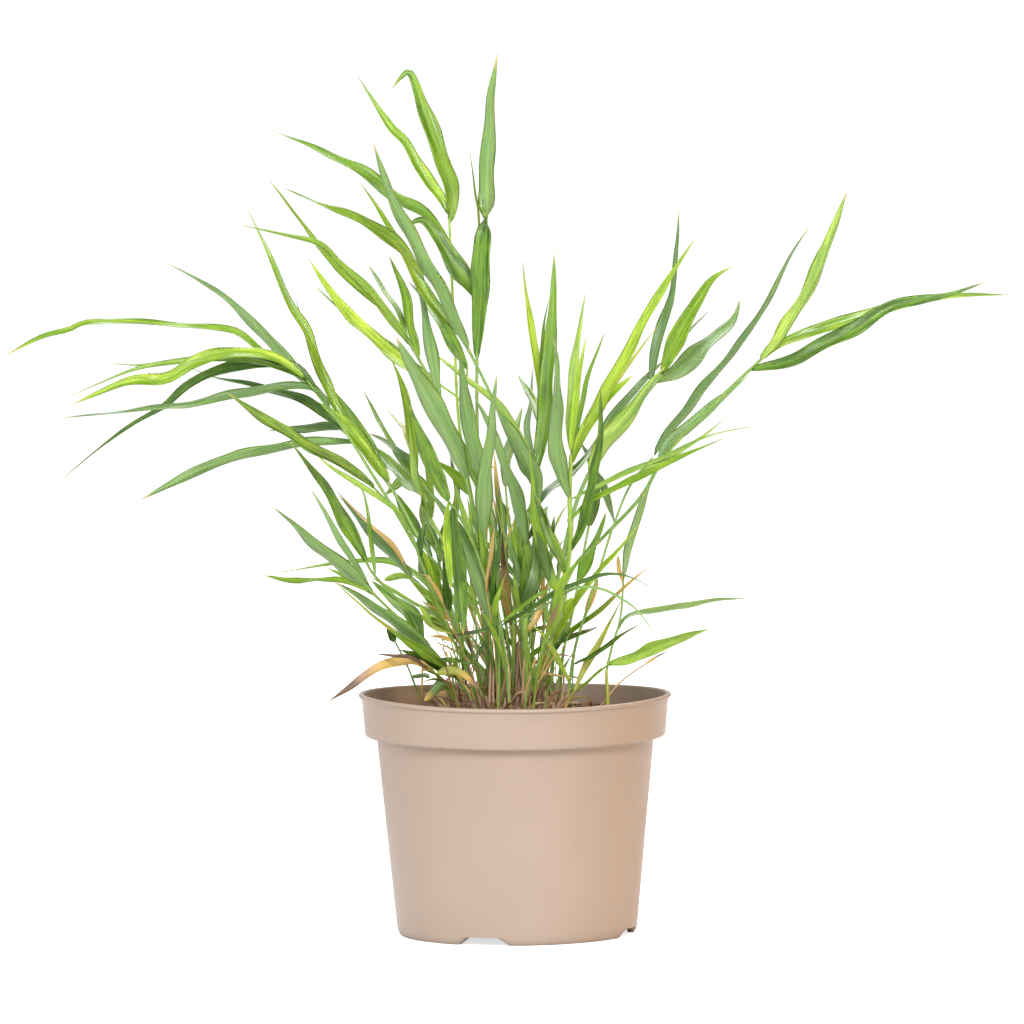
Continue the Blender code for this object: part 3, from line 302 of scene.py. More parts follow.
SHOOTS = (
    # Tall leaf at the top, twisted over half way up
    shoot("green", 2.6, 6, 34,
          ((-8, 128), (-10, 165), (-14, 205), (-18, 250), (-19, 290), (-18, 345)),
          blade("deep", 9.6, 20, -24, (-18, 312), (-17.5, 330), (-16.5, 350), (-15, 372),
                (-13.5, 389), (-12, 403), (-12, 420), (-10.2, 442), (-9.4, 458), (-5.5, 481),
                full=3.2, twist=(0.46, 145)),
          blade("deep", 9.1, 30, 20, (-18, 345), (-23, 355), (-31, 367), (-39, 380), (-48, 390),
                (-60, 384)),
          blade("mid", 2.2, 50, 12, (-18, 322), (-17.5, 360), (-17, 392), (-18.8, 405),
                (-21.3, 427))),
    # Upright culm beside it
    shoot("lime", 2.4, 20, 62,
          ((-12, 128), (-14, 160), (-17, 205), (-23, 242), (-29, 280), (-31, 330), (-33, 392)),
          blade("mid", 9.8, 25, 40, (-33.5, 389), (-31.8, 401), (-35, 417), (-40.5, 434),
                (-46.3, 450), (-50.8, 464.5), (-54, 470), (-58, 467.5), (-63.5, 461), full=2.2),
          blade("bright", 7.6, 20, 22, (-33, 392), (-37.5, 402), (-43.5, 409.5), (-49.5, 420),
                (-56, 432), (-62.5, 438.5), (-67.5, 445.5), (-82, 468.5), full=1.4),
          blade("mid", 5.5, 50, 62, (-32, 374), (-43, 390), (-62, 402), (-78, 415), (-98, 426),
                (-130, 440)),
          blade("bright", 5.7, 35, -30, (-22, 238), (-27, 246), (-34, 252), (-43, 260)),
          blade("mid", 4.6, 150, -34, (-28, 268), (-24, 257), (-20, 246), (-18, 237))),
    # Long blue-green leaf that leans left across the tall one
    shoot("grey", 2.4, -6, -24,
          ((5, 127), (7, 165), (10, 205), (14, 238), (3, 268), (-10, 292), (-25, 322), (-47, 357)),
          blade("glaucous", 8.7, 150, -70, (-24, 320), (-33, 339), (-43, 360), (-55, 383),
                (-66, 407), (-74, 433)),
          blade("mid", 4.6, 60, -46, (-47, 357), (-57, 371), (-66, 381), (-80, 389), (-98, 397),
                (-123, 408)),
          blade("bright", 5, 45, 24, (-30, 325), (-38, 338), (-47, 351), (-56, 369), (-66, 387),
                (-82, 412)),
          blade("glaucous", 9.1, 155, -44, (15, 236), (11, 250), (5, 263), (-2, 276), (-10, 290)),
          blade("pale", 4.6, 40, 40, (11, 252), (4, 272), (-10, 291), (-27, 305), (-43, 318))),
    # Grey-green blade in the middle left
    shoot("grey", 2.2, 12, 14,
          ((-2, 127), (-4, 165), (-8, 200), (-12, 232), (-19, 264), (-24, 290), (-24, 311)),
          blade("deep", 6.3, 30, 60, (-24, 309), (-32, 323), (-41, 339), (-56, 357)),
          blade("glaucous", 9.1, 160, -26, (-13, 236), (-18, 254), (-23, 276), (-26, 297),
                (-28, 320))),
    # Left fan, upper
    shoot("green", 2.4, -18, -52,
          ((-14, 128), (-15, 160), (-18, 200), (-24, 243), (-36, 282), (-48, 310), (-66, 340)),
          blade("mid", 7.2, 25, -60, (-55, 320), (-62, 332), (-72, 345), (-82, 356), (-93, 367),
                (-104, 377.5), (-120, 382), (-146, 388), full=1),
          blade("mid", 3.6, 60, -20, (-64, 338), (-84, 354), (-102, 373), (-116, 393),
                (-131, 413)),
          blade("mid", 5.7, 35, 36, (-50, 313), (-55, 331), (-57, 348), (-66, 371)),
          blade("mid", 3, 50, 60, (-56, 324), (-62, 341), (-69, 352), (-78, 367)),
          blade("glaucous", 10.5, 158, -40, (-26, 247), (-32, 266), (-41, 286), (-52, 306),
                (-63, 327), full=3),
          blade("glaucous", 5.7, 140, 50, (-39, 290), (-43, 312), (-47, 338), (-52, 361))),
    # Lime leaf that runs far to the upper left
    shoot("lime", 2.2, 26, 80,
          ((2, 127), (0, 150), (-4, 185), (-9, 220), (-16, 255), (-26, 288), (-40, 301)),
          blade("lime", 7.4, 30, 66, (-39, 300), (-50, 306), (-61, 314), (-76, 327), (-94, 346),
                (-110, 370)),
          blade("glaucous", 4.1, 130, 96, (-38, 299), (-56, 313), (-76, 329), (-94, 343),
                (-107, 355))),
    # Left fan, middle, behind
    shoot("green", 2.4, 8, 36,
          ((-18, 129), (-24, 158), (-36, 190), (-52, 218), (-66, 244), (-82, 268), (-101, 294)),
          blade("bright", 7.4, 35, 24, (-90, 281), (-98, 293), (-104, 309), (-111, 329),
                (-118, 341), (-123.5, 353), (-132, 374), (-143, 398), full=1.1),
          blade("glaucous", 5.6, 150, 70, (-98, 290), (-113, 304), (-129, 322), (-146, 340),
                (-164, 355), (-187, 368)),
          blade("bright", 8, 30, -16, (-68, 247), (-75, 259), (-84, 271), (-95, 282), (-107, 290),
                (-122, 295)),
          blade("glaucous", 5.8, 150, -34, (-80, 270), (-102, 269.5), (-126.5, 267), (-151, 261.5),
                (-167.5, 256.5), (-184, 248.5), (-203, 239), full=4.5),
          blade("dark", 3.4, 65, 60, (-88, 275), (-100, 277), (-115, 277), (-134, 276)),
          blade("mid", 2.7, 40, 40, (-98, 290), (-106, 310), (-112, 330), (-117, 348)),
          blade("mid", 5, 30, 44, (-64, 240), (-58, 230), (-53, 221), (-47, 212), blunt=True),
          blade("mid", 5, 35, 20, (-69, 250), (-77, 266), (-86, 281), (-96, 295), (-104, 306))),
    # Left fan, middle, in front: long drooping leaves
    shoot("green", 2.4, -10, -44,
          ((-22, 129), (-30, 160), (-43, 192), (-60, 224), (-76, 251), (-92, 277), (-112, 304)),
          blade("dark", 5.6, 45, -14, (-104, 295), (-115, 309), (-126, 312), (-148, 312),
                (-164, 307.5), (-178, 299.5), (-189, 290.5), (-205, 281), (-225, 267.5),
                (-246, 250), full=1.3),
          blade("bright", 6.2, 40, -50, (-111, 303), (-128, 315), (-148, 319), (-172, 313.5),
                (-189, 305), (-211, 303), (-240, 291), full=3),
          blade("bright", 3.3, 55, 16, (-109, 300), (-134, 318), (-146, 328), (-158, 331.5),
                (-185, 334.5), (-226, 336.5), (-241, 331.5), (-257, 328), (-276, 318), full=6),
          blade("shade", 3.2, 62, -52, (-97, 284), (-107, 298), (-128, 299.5), (-150, 295.5),
                (-170, 291.5), (-198, 288.5), (-247, 284), full=3),
          blade("dark", 4, 50, 24, (-90, 274), (-102, 284), (-117, 294), (-142, 301), (-160, 305),
                (-176, 311))),
    # Left, low in front, with the broken-ended leaf
    shoot("green", 2, -26, -104,
          ((-20, 129), (-28, 148), (-38, 172), (-49, 200), (-58, 224), (-76, 245)),
          blade("deep", 5.8, 35, -84, (-75, 244), (-85, 252.5), (-100, 261), (-119, 272.5),
                (-137, 284), (-155, 297), full=3.5),
          blade("pale", 2.7, 45, -20, (-56, 220), (-66, 234), (-82, 245), (-98, 255),
                (-114, 270))),
    # Left, low: dark leaf that climbs
    shoot("green", 2.2, -14, -66,
          ((-16, 129), (-24, 150), (-37, 167), (-53, 175), (-66, 186), (-77, 198), (-82, 208)),
          blade("deep", 6.6, 30, -54, (-80, 204), (-88, 219), (-97, 235), (-106, 250),
                (-121, 270)),
          blade("mid", 2.6, 35, 20, (-76, 196), (-79, 228), (-82, 243), (-88, 246))),
    # Left, low: the spray just above the rim
    shoot("grey", 2.4, -22, -84,
          ((-24, 129), (-30, 138), (-42, 152), (-54, 165), (-66, 176), (-79, 189)),
          blade("glaucous", 6.6, 155, -70, (-77, 186), (-86, 195), (-97, 205), (-109, 214.5),
                (-120, 225), (-131, 235)),
          blade("glaucous", 4.2, 150, -20, (-78, 188), (-87, 203), (-96, 219), (-103, 232),
                (-110, 244)),
          blade("mid", 2.6, 55, -88, (-77, 187), (-92, 193), (-106, 194.5), (-118, 193.5),
                (-136, 197), full=5),
          blade("mid", 3.2, 40, 10, (-76, 185), (-88, 194), (-102, 201)),
          blade("glaucous", 7.8, 155, -38, (-47, 155), (-57, 164.5), (-70, 174.5), (-83, 184),
                (-97, 193)),
          blade("deep", 8, 25, 34, (-50, 161), (-57, 176), (-68, 185), (-78, 194)),
          blade("olive", 3.2, 140, -70, (-37, 144), (-45, 150), (-57, 158.5), (-71, 169.5),
                (-85, 181.5), (-98, 193.5)),
          blade("mid", 4.8, 35, -96, (-34, 142), (-42, 149), (-52, 156), (-61, 162), (-70, 168)),
          blade("dark", 5.7, 30, -60, (-32, 141), (-43, 147), (-53, 152), (-63, 156))),
    # Big yellow dead leaf that hangs over the rim
    shoot("straw", 1.8, -29, -66,
          ((-30, 128), (-34, 134), (-40, 140), (-47, 145)),
          blade("yellow", 5.6, 30, -24, (-46, 144), (-55, 150), (-64, 148.7), (-74, 145.8),
                (-82.6, 141), (-91, 134.8), (-102.5, 127.3)),
          blade("brown", 1.8, 60, 12, (-44, 143), (-56, 151), (-66, 152.2), (-78, 154)),
          blade("glaucous", 5, 155, -4, (-37, 138), (-41, 136), (-45.5, 131), (-49.5, 127.5),
                blunt=True),
          blade("olive", 5, 35, 12, (-43, 142), (-35, 143.5), (-27, 140.5), (-20, 134))),
    # Thin culm out on the soil at the left
    shoot("green", 1.4, 4, -14,
          ((-50, 121), (-54, 135), (-59, 148), (-66, 162)),
          blade("dark", 3.6, 30, -6, (-65, 160), (-67, 164), (-69, 169), blunt=True),
          blade("glaucous", 3.2, 150, -20, (-56, 140), (-51, 141.5), (-46, 141), blunt=True)),
    # Behind at the left: dark leaf with its dried pink edge
    shoot("grey", 2.2, 30, 46,
          ((-13, 129), (-21, 150), (-32, 169), (-44, 184), (-56, 196)),
          blade("shade", 6.4, 150, 60, (-55, 195), (-64, 205), (-74, 216), (-84, 228), (-95, 241)),
          blade("tan", 1.9, 50, 44, (-54, 197), (-65, 211.5), (-75, 221.5), (-85, 231),
                (-96, 243)),
          blade("bright", 3.2, 40, 24, (-54, 194), (-62, 196), (-71, 194), blunt=True)),
    # Behind at the left: arching leaf over the low spray
    shoot("green", 2.2, 36, 96,
          ((-7, 128), (-14, 145), (-25, 161), (-37, 174)),
          blade("mid", 5.4, 35, 76, (-36, 173), (-42, 184), (-50, 194.5), (-60, 201), (-72, 204.5),
                (-92, 204), (-128, 198.5), full=0.9),
          blade("pale", 5.7, 30, 84, (-34, 170), (-40, 186), (-45, 196), (-50, 205)),
          blade("mid", 5, 25, -10, (-36.5, 175), (-43, 180), (-50, 187), (-58, 196)),
          blade("pale", 2.6, 40, 30, (-37, 172), (-50, 178.5), (-63, 186.5), (-80, 197))),
    # Behind at the left: lime node half way up
    shoot("lime", 2.8, 24, 118,
          ((-10, 128), (-15, 160), (-25, 190), (-37, 213), (-47, 232), (-53, 257)),
          blade("bright", 5.2, 25, 44, (-52, 252), (-55, 271), (-57, 289), (-61, 304), (-66, 316)),
          blade("mid", 8.6, 30, 72, (-50, 240), (-57, 247), (-66, 257), (-77, 268), full=1.8),
          blade("shade", 4.8, 45, 16, (-52, 253), (-60, 262), (-68, 269), (-78, 274)),
          blade("mid", 3.6, 30, 56, (-51, 246), (-63, 263), (-72, 280), (-81, 298)),
          blade("olive", 3, 50, 70, (-53, 256), (-57, 272), (-62, 280), (-69, 288)),
          blade("mid", 5.2, 30, 30, (-49, 238), (-49, 231), (-46, 221), (-43, 211), blunt=True),
          blade("pale", 4.8, 150, 4, (-50, 237), (-53, 250), (-54.5, 262), (-56, 277)),
          blade("mid", 4.8, 35, -10, (-44, 226), (-45, 245), (-48, 265), (-54, 284), (-58, 298))),
    # In front: the dark leaf that hangs, and the long blue-green one beside it
    shoot("green", 2.4, -24, -74,
          ((-8, 127), (-9, 155), (-14, 188), (-21, 211), (-28, 226), (-36, 238)),
          blade("deep", 8.2, 25, -46, (-35, 236), (-41, 249), (-46, 262), (-51, 275), (-56, 289)),
          blade("dark", 7.3, 20, -62, (-33, 234), (-32.5, 222), (-31, 210), (-29.7, 198),
                (-28.8, 184), (-28, 172), (-28, 163.5), full=4.5),
          blade("bright", 3.8, 20, -40, (-35, 237), (-36.5, 226), (-36, 214), (-35, 201),
                (-34.3, 188.5), blunt=True),
          blade("glaucous", 8.4, 155, -34, (-10, 158), (-14, 176), (-20, 197), (-29, 218),
                (-39, 234), (-51, 248)),
          blade("mid", 3.9, 30, -10, (-23, 216), (-27, 228), (-31, 245))),
    # In front, middle: broad blue-green leaf
    shoot("grey", 2.2, -30, -52,
          ((-3, 126), (-5, 150), (-8, 172), (-12, 192), (-17, 213)),
          blade("glaucous", 8.4, 155, -50, (-17, 211), (-16, 228), (-15, 247), (-12, 268),
                (-10, 287), (-8, 306)),
          blade("dark", 3.3, 45, -66, (-7, 168), (3, 174), (14, 180), (27, 188), (42, 193.5),
                (52, 195.8), (63, 194.3), (78, 187), full=1.2),
          blade("silver", 1.2, 50, -108, (-6, 165), (8, 174), (22, 182), (35, 188.5), (47, 188),
                (58, 182.5), (68, 175), (79.5, 158.5), full=4),
          blade("pale", 2, 40, 30, (-9, 176), (-20, 181), (-31, 180), (-42, 184)),
          blade("dark", 2, 50, 20, (-10, 170), (-18, 165.5), (-27, 164), (-37, 162.5)),
          blade("bright", 2.2, 40, -60, (-7, 170), (2, 176.5), (12, 184), (24, 190.5))),
    # Middle: pale thick culm
    shoot("lime", 4, -14, -18,
          ((7, 126), (6, 150), (6, 180), (7, 205), (8, 226)),
          blade("glaucous", 7.4, 150, -38, (7, 211), (4, 228), (-1, 246), (-7, 264), (-14, 281),
                (-21, 295)),
          blade("shade", 5.7, 140, 30, (6, 176), (10, 190), (13, 204), (16, 224)),
          blade("yellow", 3.7, 25, 14, (9, 163), (12.5, 173), (16.5, 185), (22, 198))),
    # Middle: brown old culm with a yellowed leaf
    shoot("straw", 3, 16, 26,
          ((1, 126), (1, 145), (-1, 170), (-4, 200), (-7, 240)),
          blade("dark", 5.2, 30, 16, (-4, 200), (-6, 218), (-8, 238), (-10, 264)),
          blade("tan", 4.8, 20, -30, (-3, 166), (-4, 182), (-5.3, 200), (-6, 220)),
          blade("bright", 3.6, 35, -90, (1, 144), (14, 155), (31, 164.5), (49, 178), (62, 190),
                (74, 200)),
          blade("mid", 2, 50, -60, (0, 158), (8, 163.5), (16, 167), (24, 167.8), blunt=True),
          stem="green"),
    # Tall middle right
    shoot("green", 2.6, 12, 44,
          ((11, 127), (10, 160), (11, 200), (12, 235), (14, 260), (17, 282)),
          blade("mid", 9.8, 20, 14, (13, 253), (16, 268), (18, 283), (19.5, 301), (21, 320),
                (23, 343), (24, 373), full=1.8),
          blade("lime", 4.1, 35, 60, (17, 280), (15, 304), (12, 325), (9, 344), (6.5, 368)),
          blade("mid", 4.8, 30, 66, (16, 274), (13, 286), (9, 295.5), (3, 306)),
          blade("glaucous", 3.4, 140, 90, (11, 250), (8, 273), (10, 290), (12, 311)),
          blade("mid", 3.6, 35, 36, (15, 268), (17, 300), (17.5, 328), (21, 347)),
          blade("dark", 4.8, 40, 70, (12, 232), (20, 242), (33, 252), (41, 261), (47, 272))),
    # Right: the bright culm that carries the big lime leaf
    shoot("lime", 3.6, -8, -34,
          ((16, 125), (17, 142), (22, 165), (28, 190), (31, 215), (31, 238), (32, 262)),
          blade("glaucous", 8, 150, -56, (31.5, 236), (27, 248), (24, 262), (23.5, 278),
                (24.5, 294), (25, 310), (23, 325)),
          blade("lime", 7.2, 25, -64, (32, 256), (39, 273), (50, 292), (61.5, 313), (76, 340),
                (89, 361), (101, 379)),
          blade("lime", 3.6, 30, -24, (32, 258), (42, 279), (53, 293), (66.5, 304.5), blunt=True),
          blade("pale", 4.9, 35, 36, (32, 261), (32, 282), (33.5, 300), (35.5, 318), (38, 334),
                (41, 350)),
          blade("lime", 4.4, 25, -14, (32, 262), (33.5, 280), (35.5, 298), (41, 326)),
          blade("mid", 3.6, 40, 56, (32, 260), (37, 283), (40.5, 299), (44.5, 311), (51, 328)),
          blade("olive", 2.2, 50, 30, (32, 259), (46, 283), (61, 306), (80, 331)),
          blade("bright", 3.5, 40, -86, (31, 226), (40, 234), (54, 242), (70, 249), (85, 256.5),
                (99, 262.5), (115.5, 269.5)),
          blade("pale", 2.5, 50, -52, (31, 236), (48, 244.5), (68, 253.5), (88, 262), (108, 271),
                (130, 275.5)),
          blade("bright", 6, 25, -30, (26, 182), (19, 198), (15, 213), (12, 230), (11, 243),
                (9, 266)),
          blade("deep", 5.8, 30, -74, (27, 197), (22, 211), (16, 227), (11, 243)),
          blade("deep", 6, 25, -62, (33, 207), (38, 222), (41.5, 238), (45, 253), (48, 270),
                (48.5, 300), full=1.8),
          blade("lime", 3.8, 25, -104, (20, 157), (30, 175), (43.5, 194), (56, 207.5), (69, 223)),
          blade("dark", 1.6, 60, -40, (20, 156), (30, 160.5), (46, 167))),
    # Right: pale sheath with the four leaves at its end
    shoot("grey", 3.2, 18, 46,
          ((13, 126), (16, 150), (21, 180), (27, 206), (35, 236), (46, 258), (64, 282), (82, 305)),
          blade("pale", 9.2, 155, -20, (41, 250), (50, 267), (62, 281), (73, 296), (84, 309)),
          blade("shade", 5.2, 40, 20, (44, 256), (55, 281), (68, 297), (84, 313)),
          blade("shade", 5.2, 45, 24, (76, 298), (78, 315), (83.5, 333), (88.5, 352), (90.5, 368),
                (92, 395)),
          blade("bright", 8.6, 20, -30, (82, 304), (88, 319), (95.5, 334), (104, 348),
                (111.5, 357), (121, 363)),
          blade("shade", 2.2, 50, 50, (80, 303), (93, 323), (109, 340)),
          blade("glaucous", 9.4, 30, 70, (78, 300), (88, 304.5), (97, 311.5), (105, 319),
                (113, 326.5), (120, 332), (123.3, 338.5), (124.6, 345.5)),
          blade("dark", 4.2, 35, 44, (42, 253), (48, 246), (51.5, 237), (54, 229), (55.5, 222))),
    # Right: the longest culm, out to the far right
    shoot("green", 2.8, 4, 12,
          ((20, 126), (21, 150), (25, 178), (33, 200), (50, 217), (70, 238), (84, 261), (110, 288),
           (138, 314)),
          blade("pale", 8.2, 145, -26, (135, 311), (146, 323), (156.5, 340), (166, 358),
                (175, 381), (184, 404)),
          blade("bright", 5.8, 40, 24, (136, 312), (150, 322), (172, 329), (192, 335), (209, 340),
                (232, 345), (275, 346)),
          blade("deep", 8.4, 40, -44, (130, 306), (146, 309), (163, 316), (183, 326), (205, 339),
                (222, 343.5), (240, 346.5), (260, 353.5), full=1.7),
          blade("glaucous", 5.6, 40, 24, (78, 257), (85, 266), (96, 276), (106, 284), (118, 294),
                (130, 304.5))),
    # Right: arching culm in front, with a tan sheath low down
    shoot("grey", 2, -12, -56,
          ((28, 127), (33, 155), (40, 177), (48, 202), (55, 223), (64, 244), (77, 260)),
          blade("shade", 6.4, 145, -62, (76, 260), (85, 272.5), (99.5, 290), (120, 315.5),
                (131.5, 330), (143.2, 350), (153.4, 370), (163.8, 385.5), full=1.4),
          blade("pale", 2.2, 50, 10, (70, 253), (88, 260), (102, 269), (116, 280)),
          blade("tan", 3.2, 20, -4, (39.3, 174.5), (42, 182), (46, 193), blunt=True),
          blade("dark", 2, 50, -90, (31, 146), (41, 150.5), (50, 156), (57, 161.5), (70, 169))),
    # Right, behind: thin culm with drooping leaves
    shoot("grey", 1.8, 14, 58,
          ((51, 121), (50, 140), (53, 155), (58, 172), (60, 194)),
          blade("glaucous", 4.6, 150, 34, (60, 193), (62.5, 207), (66.5, 222), (72, 238),
                (79, 256)),
          blade("glaucous", 3, 45, 84, (56, 165), (60, 171), (67, 174.5), (80, 176), (92, 178),
                (110, 181), (130, 182)),
          blade("tan", 2.2, 20, 10, (59, 190), (57.5, 198), (57, 206), blunt=True)),
    # Right, low in front: broad leaf above the rim
    shoot("lime", 1.6, -24, -62,
          ((27, 126), (33, 132), (42, 139), (52, 147)),
          blade("pale", 6.6, 30, -76, (51, 146.5), (61, 148.8), (70, 152), (80, 156.3), (90, 160),
                (107, 165.5)),
          blade("olive", 3.2, 40, -10, (32, 131), (38, 144), (46, 157), (52, 169), (60, 184))),
    # Dry culm at the right rim
    shoot("straw", 1.3, -6, 22,
          ((46, 121), (51, 129), (57, 136), (66, 143), (77, 149.5)),
          blade("tan", 1.4, 40, 4, (70, 146), (76, 149.5), (84, 153.5))),
    # Shoots that fill the back of the clump
    shoot("green", 2.2, 30, 150,
          ((-22, 130), (-27, 155), (-36, 185), (-43, 215), (-46, 240)),
          blade("mid", 8, 150, 2, (-45, 236), (-51, 246), (-58, 249), (-70, 240)),
          blade("deep", 6.8, 140, 20, (-40, 203), (-34, 222), (-30, 243), (-34, 262))),
    shoot("grey", 2.2, 34, 128,
          ((4, 130), (4, 160), (2, 190), (-2, 220), (-4, 246)),
          blade("glaucous", 7, 160, 50, (-4, 244), (-2.5, 260), (2, 275), (6, 288)),
          blade("mid", 6.8, 35, 34, (1, 200), (6, 218), (11, 234), (15, 246))),
    shoot("green", 2.2, 28, 142,
          ((22, 129), (27, 155), (33, 180), (38, 206), (42, 226)),
          blade("deep", 7.5, 150, 46, (41, 222), (44, 240), (42, 258), (36, 270)),
          blade("mid", 6.2, 40, 30, (35, 190), (42, 206), (47, 219), (51, 230))),
    # Short young shoots in front
    shoot("lime", 1.8, -32, -70,
          ((10, 124), (12, 140), (16, 158), (22, 176)),
          blade("bright", 3.8, 30, -30, (21, 174), (26, 190), (33, 200), (41, 208)),
          blade("pale", 4.1, 150, -44, (17, 160), (24, 172), (27, 186))),
)


# Leaves too thin for a solid, under the number of the shoot that they grow from
THIN_LEAVES = {
    1: (blade("yellow", 1.6, 40, -12, (-18, 262), (-14, 258), (-9, 253)),),
    5: (blade("dark", 2.0, 50, -14, (-15, 160), (-19, 155), (-23, 148)),
        blade("brown", 1.2, 40, -16, (-14, 150), (-9, 146), (-5, 141))),
    7: (blade("brown", 1.3, 60, -20, (-26, 164), (-22, 150), (-15, 138)),),
    8: (blade("mid", 2.8, 50, -16, (-111, 303), (-140, 314), (-172, 315), (-205, 310),
              (-241, 296)),
        blade("mid", 2.7, 45, 30, (-112, 304), (-140, 316), (-175, 315.5), (-200, 312.5),
              (-222, 314))),
    9: (blade("yellow", 1.8, 45, -12, (-34, 160), (-40, 162.5), (-48, 163)),
        blade("brown", 1.0, 45, -10, (-33, 163), (-26, 165), (-19, 165))),
    10: (blade("olive", 2.6, 40, -16, (-53, 174), (-44, 168), (-34, 164)),),
    11: (blade("dark", 2.4, 50, -12, (-43, 149), (-33, 149.5), (-22, 147)),
         blade("tan", 1.6, 40, -14, (-38, 146), (-30, 140), (-24, 131))),
    19: (blade("tan", 1.3, 45, -12, (6, 143), (15, 142), (28, 140), (36, 139)),
         blade("bark", 1.2, 45, -10, (6, 143), (11, 147), (15, 152))),
    22: (blade("brown", 1.2, 45, -10, (17, 141), (27, 140.5), (38, 139)),
         blade("bark", 1.2, 45, -12, (20, 151), (26, 152), (32, 151))),
    24: (blade("brown", 1.1, 45, -14, (22, 160), (33, 163.5), (45, 167)),),
    25: (blade("bright", 1.8, 45, -14, (29, 132), (36, 134), (50, 147)),),
}

# Old stems in the crown: tone, radius, depth and the path of the stem
OLD_STEMS = (
    ("bark", 0.9, -26, (-14, 123), (-13.5, 138), (-12.5, 153)),
    ("tan", 0.8, -28, (-9.5, 123), (-9, 138), (-8, 148)),
    ("bark", 0.7, -27, (-11.5, 123), (-12, 136), (-11, 145)),
    ("brown", 1.3, -27, (0.5, 123), (1, 140), (2.5, 161)),
    ("bark", 0.8, -28, (4, 123), (4.5, 138), (5.5, 152)),
    ("tan", 0.9, -24, (3.5, 122), (7, 136), (12, 152)),
    ("brown", 0.9, -24, (-26, 123), (-27, 134), (-24, 150)),
    ("bark", 0.8, -22, (-31, 122), (-33, 132), (-38, 141)),
    ("tan", 0.9, -20, (-36, 121), (-40, 128), (-47, 134)),
    ("olive", 1.3, -12, (50.5, 119), (50.5, 132), (50, 145)),
    ("brown", 0.7, -24, (12, 122), (14, 133), (19, 144)),
    ("bark", 0.8, -16, (22, 121), (26, 130), (27, 143)),
)


def clamped(value):
    """The value, held between 0 and 1."""
    return min(1.0, max(0.0, value))


def ease(share):
    """A soft step up from 0 to 1."""
    share = clamped(share)
    return share * share * (3 - 2 * share)


def drawn(draws, *spans):
    """A random number from each span, in their order."""
    return tuple(draws.uniform(*span) for span in spans)


def ripple(point, scale, seed=0.0):
    """Smooth noise from -1 to 1 at a place, where scale is the size of a lump."""
    return noise.noise(Vector(point) / scale + Vector((seed, seed * 0.7, -seed)))


def run_of(points):
    """Distances along a chain of points, from its start."""
    run = [0.0]
    for previous, current in zip(points, points[1:]):
        run.append(run[-1] + (Vector(current) - Vector(previous)).length)
    return run


def smoothed(points, count):
    """count + 1 points at even steps along a smooth curve through the given ones."""
    ends = [points[0] * 2 - points[1], *points, points[-1] * 2 - points[-2]]
    fine = []
    for before, start, finish, after in zip(ends, ends[1:], ends[2:], ends[3:]):
        for step in range(12):
            t = step / 12
            fine.append(0.5 * (2 * start + (finish - before) * t
                               + (2 * before - 5 * start + 4 * finish - after) * t * t
                               + (3 * start - before - 3 * finish + after) * t ** 3))
    fine.append(points[-1].copy())
    lengths = run_of(fine)
    result, place = [], 0
    for index in range(count + 1):
        wanted = lengths[-1] * index / count
        while place < len(fine) - 2 and lengths[place + 1] < wanted:
            place += 1
        share = (wanted - lengths[place]) / max(lengths[place + 1] - lengths[place], 1e-9)
        result.append(fine[place].lerp(fine[place + 1], clamped(share)))
    return result


def heading_at(line, index):
    """The direction of a line of points at one of them."""
    return (line[min(index + 1, len(line) - 1)] - line[max(index - 1, 0)]).normalized()


def seen(x, z, depth):
    """The point at that depth which the eye sees at (x, z) on the middle plane."""
    nearer = depth / EYE_DISTANCE
    return Vector((x * (1 + nearer), depth, z + (z - EYE_HEIGHT) * nearer))


def soil_height(x, y):
    """The top of the soil: a low swell with a few shallow lumps."""
    share = min(1.0, math.hypot(x, y) / BODY_TOP_RADIUS)
    lumps = SOIL_LUMP * math.sin(x * 0.11 + 0.6) * math.cos(y * 0.13 - 0.4)
    return SOIL_EDGE_HEIGHT + (SOIL_MIDDLE_HEIGHT - SOIL_EDGE_HEIGHT) * (1 - share ** 2) + lumps


def ground_height(x, y):
    """What a culm stands on: the crown, or the soil outside it."""
    across = (x - CROWN_CENTRE[0]) / CROWN_RADII[0]
    along = (y - CROWN_CENTRE[1]) / CROWN_RADII[1]
    swell = 1 - across ** 2 - along ** 2
    top = soil_height(x, y)
    if swell > 0:
        top = max(top, CROWN_SEAT + CROWN_HEIGHT * math.sqrt(swell))
    return top


def foot_height(x, y, radius):
    """The lowest height that keeps a round foot clear of the ground all round."""
    ring = [ground_height(x + radius * math.cos(a), y + radius * math.sin(a))
            for a in FOOT_ANGLES]
    return max(ground_height(x, y), *ring) + 0.9 * GAP + FOOT_LIFT


def culm_curve(row, foot_shift, top_shift):
    """The middle line of a culm as a smooth curve."""
    foot, top = row["foot"] + foot_shift, row["top"] + top_shift
    rise = run_of(row["path"])
    points = []
    for (x, z), run in zip(row["path"], rise):
        points.append(seen(x, z, foot + (top - foot) * (run / rise[-1]) ** 1.25))
    start = points[0]
    start.z = foot_height(start.x, start.y, row["thickness"] / 2 + CLEARANCE)
    points.insert(1, start + Vector((0, 0, RISER_HEIGHT)))
    while points[2].z < points[1].z + 2:
        points[2].z += 1
    return smoothed(points, CULM_POINTS)


def straightened(curve):
    """The same culm straight from bend to bend, as its solid is."""
    bends = [0] + [round(CULM_RISER + (CULM_POINTS - CULM_RISER) * step / CULM_SEGMENTS)
                   for step in range(CULM_SEGMENTS + 1)]
    line = [curve[start].lerp(curve[finish], (index - start) / (finish - start))
            for start, finish in zip(bends, bends[1:]) for index in range(start, finish)]
    return [*line, curve[-1]]


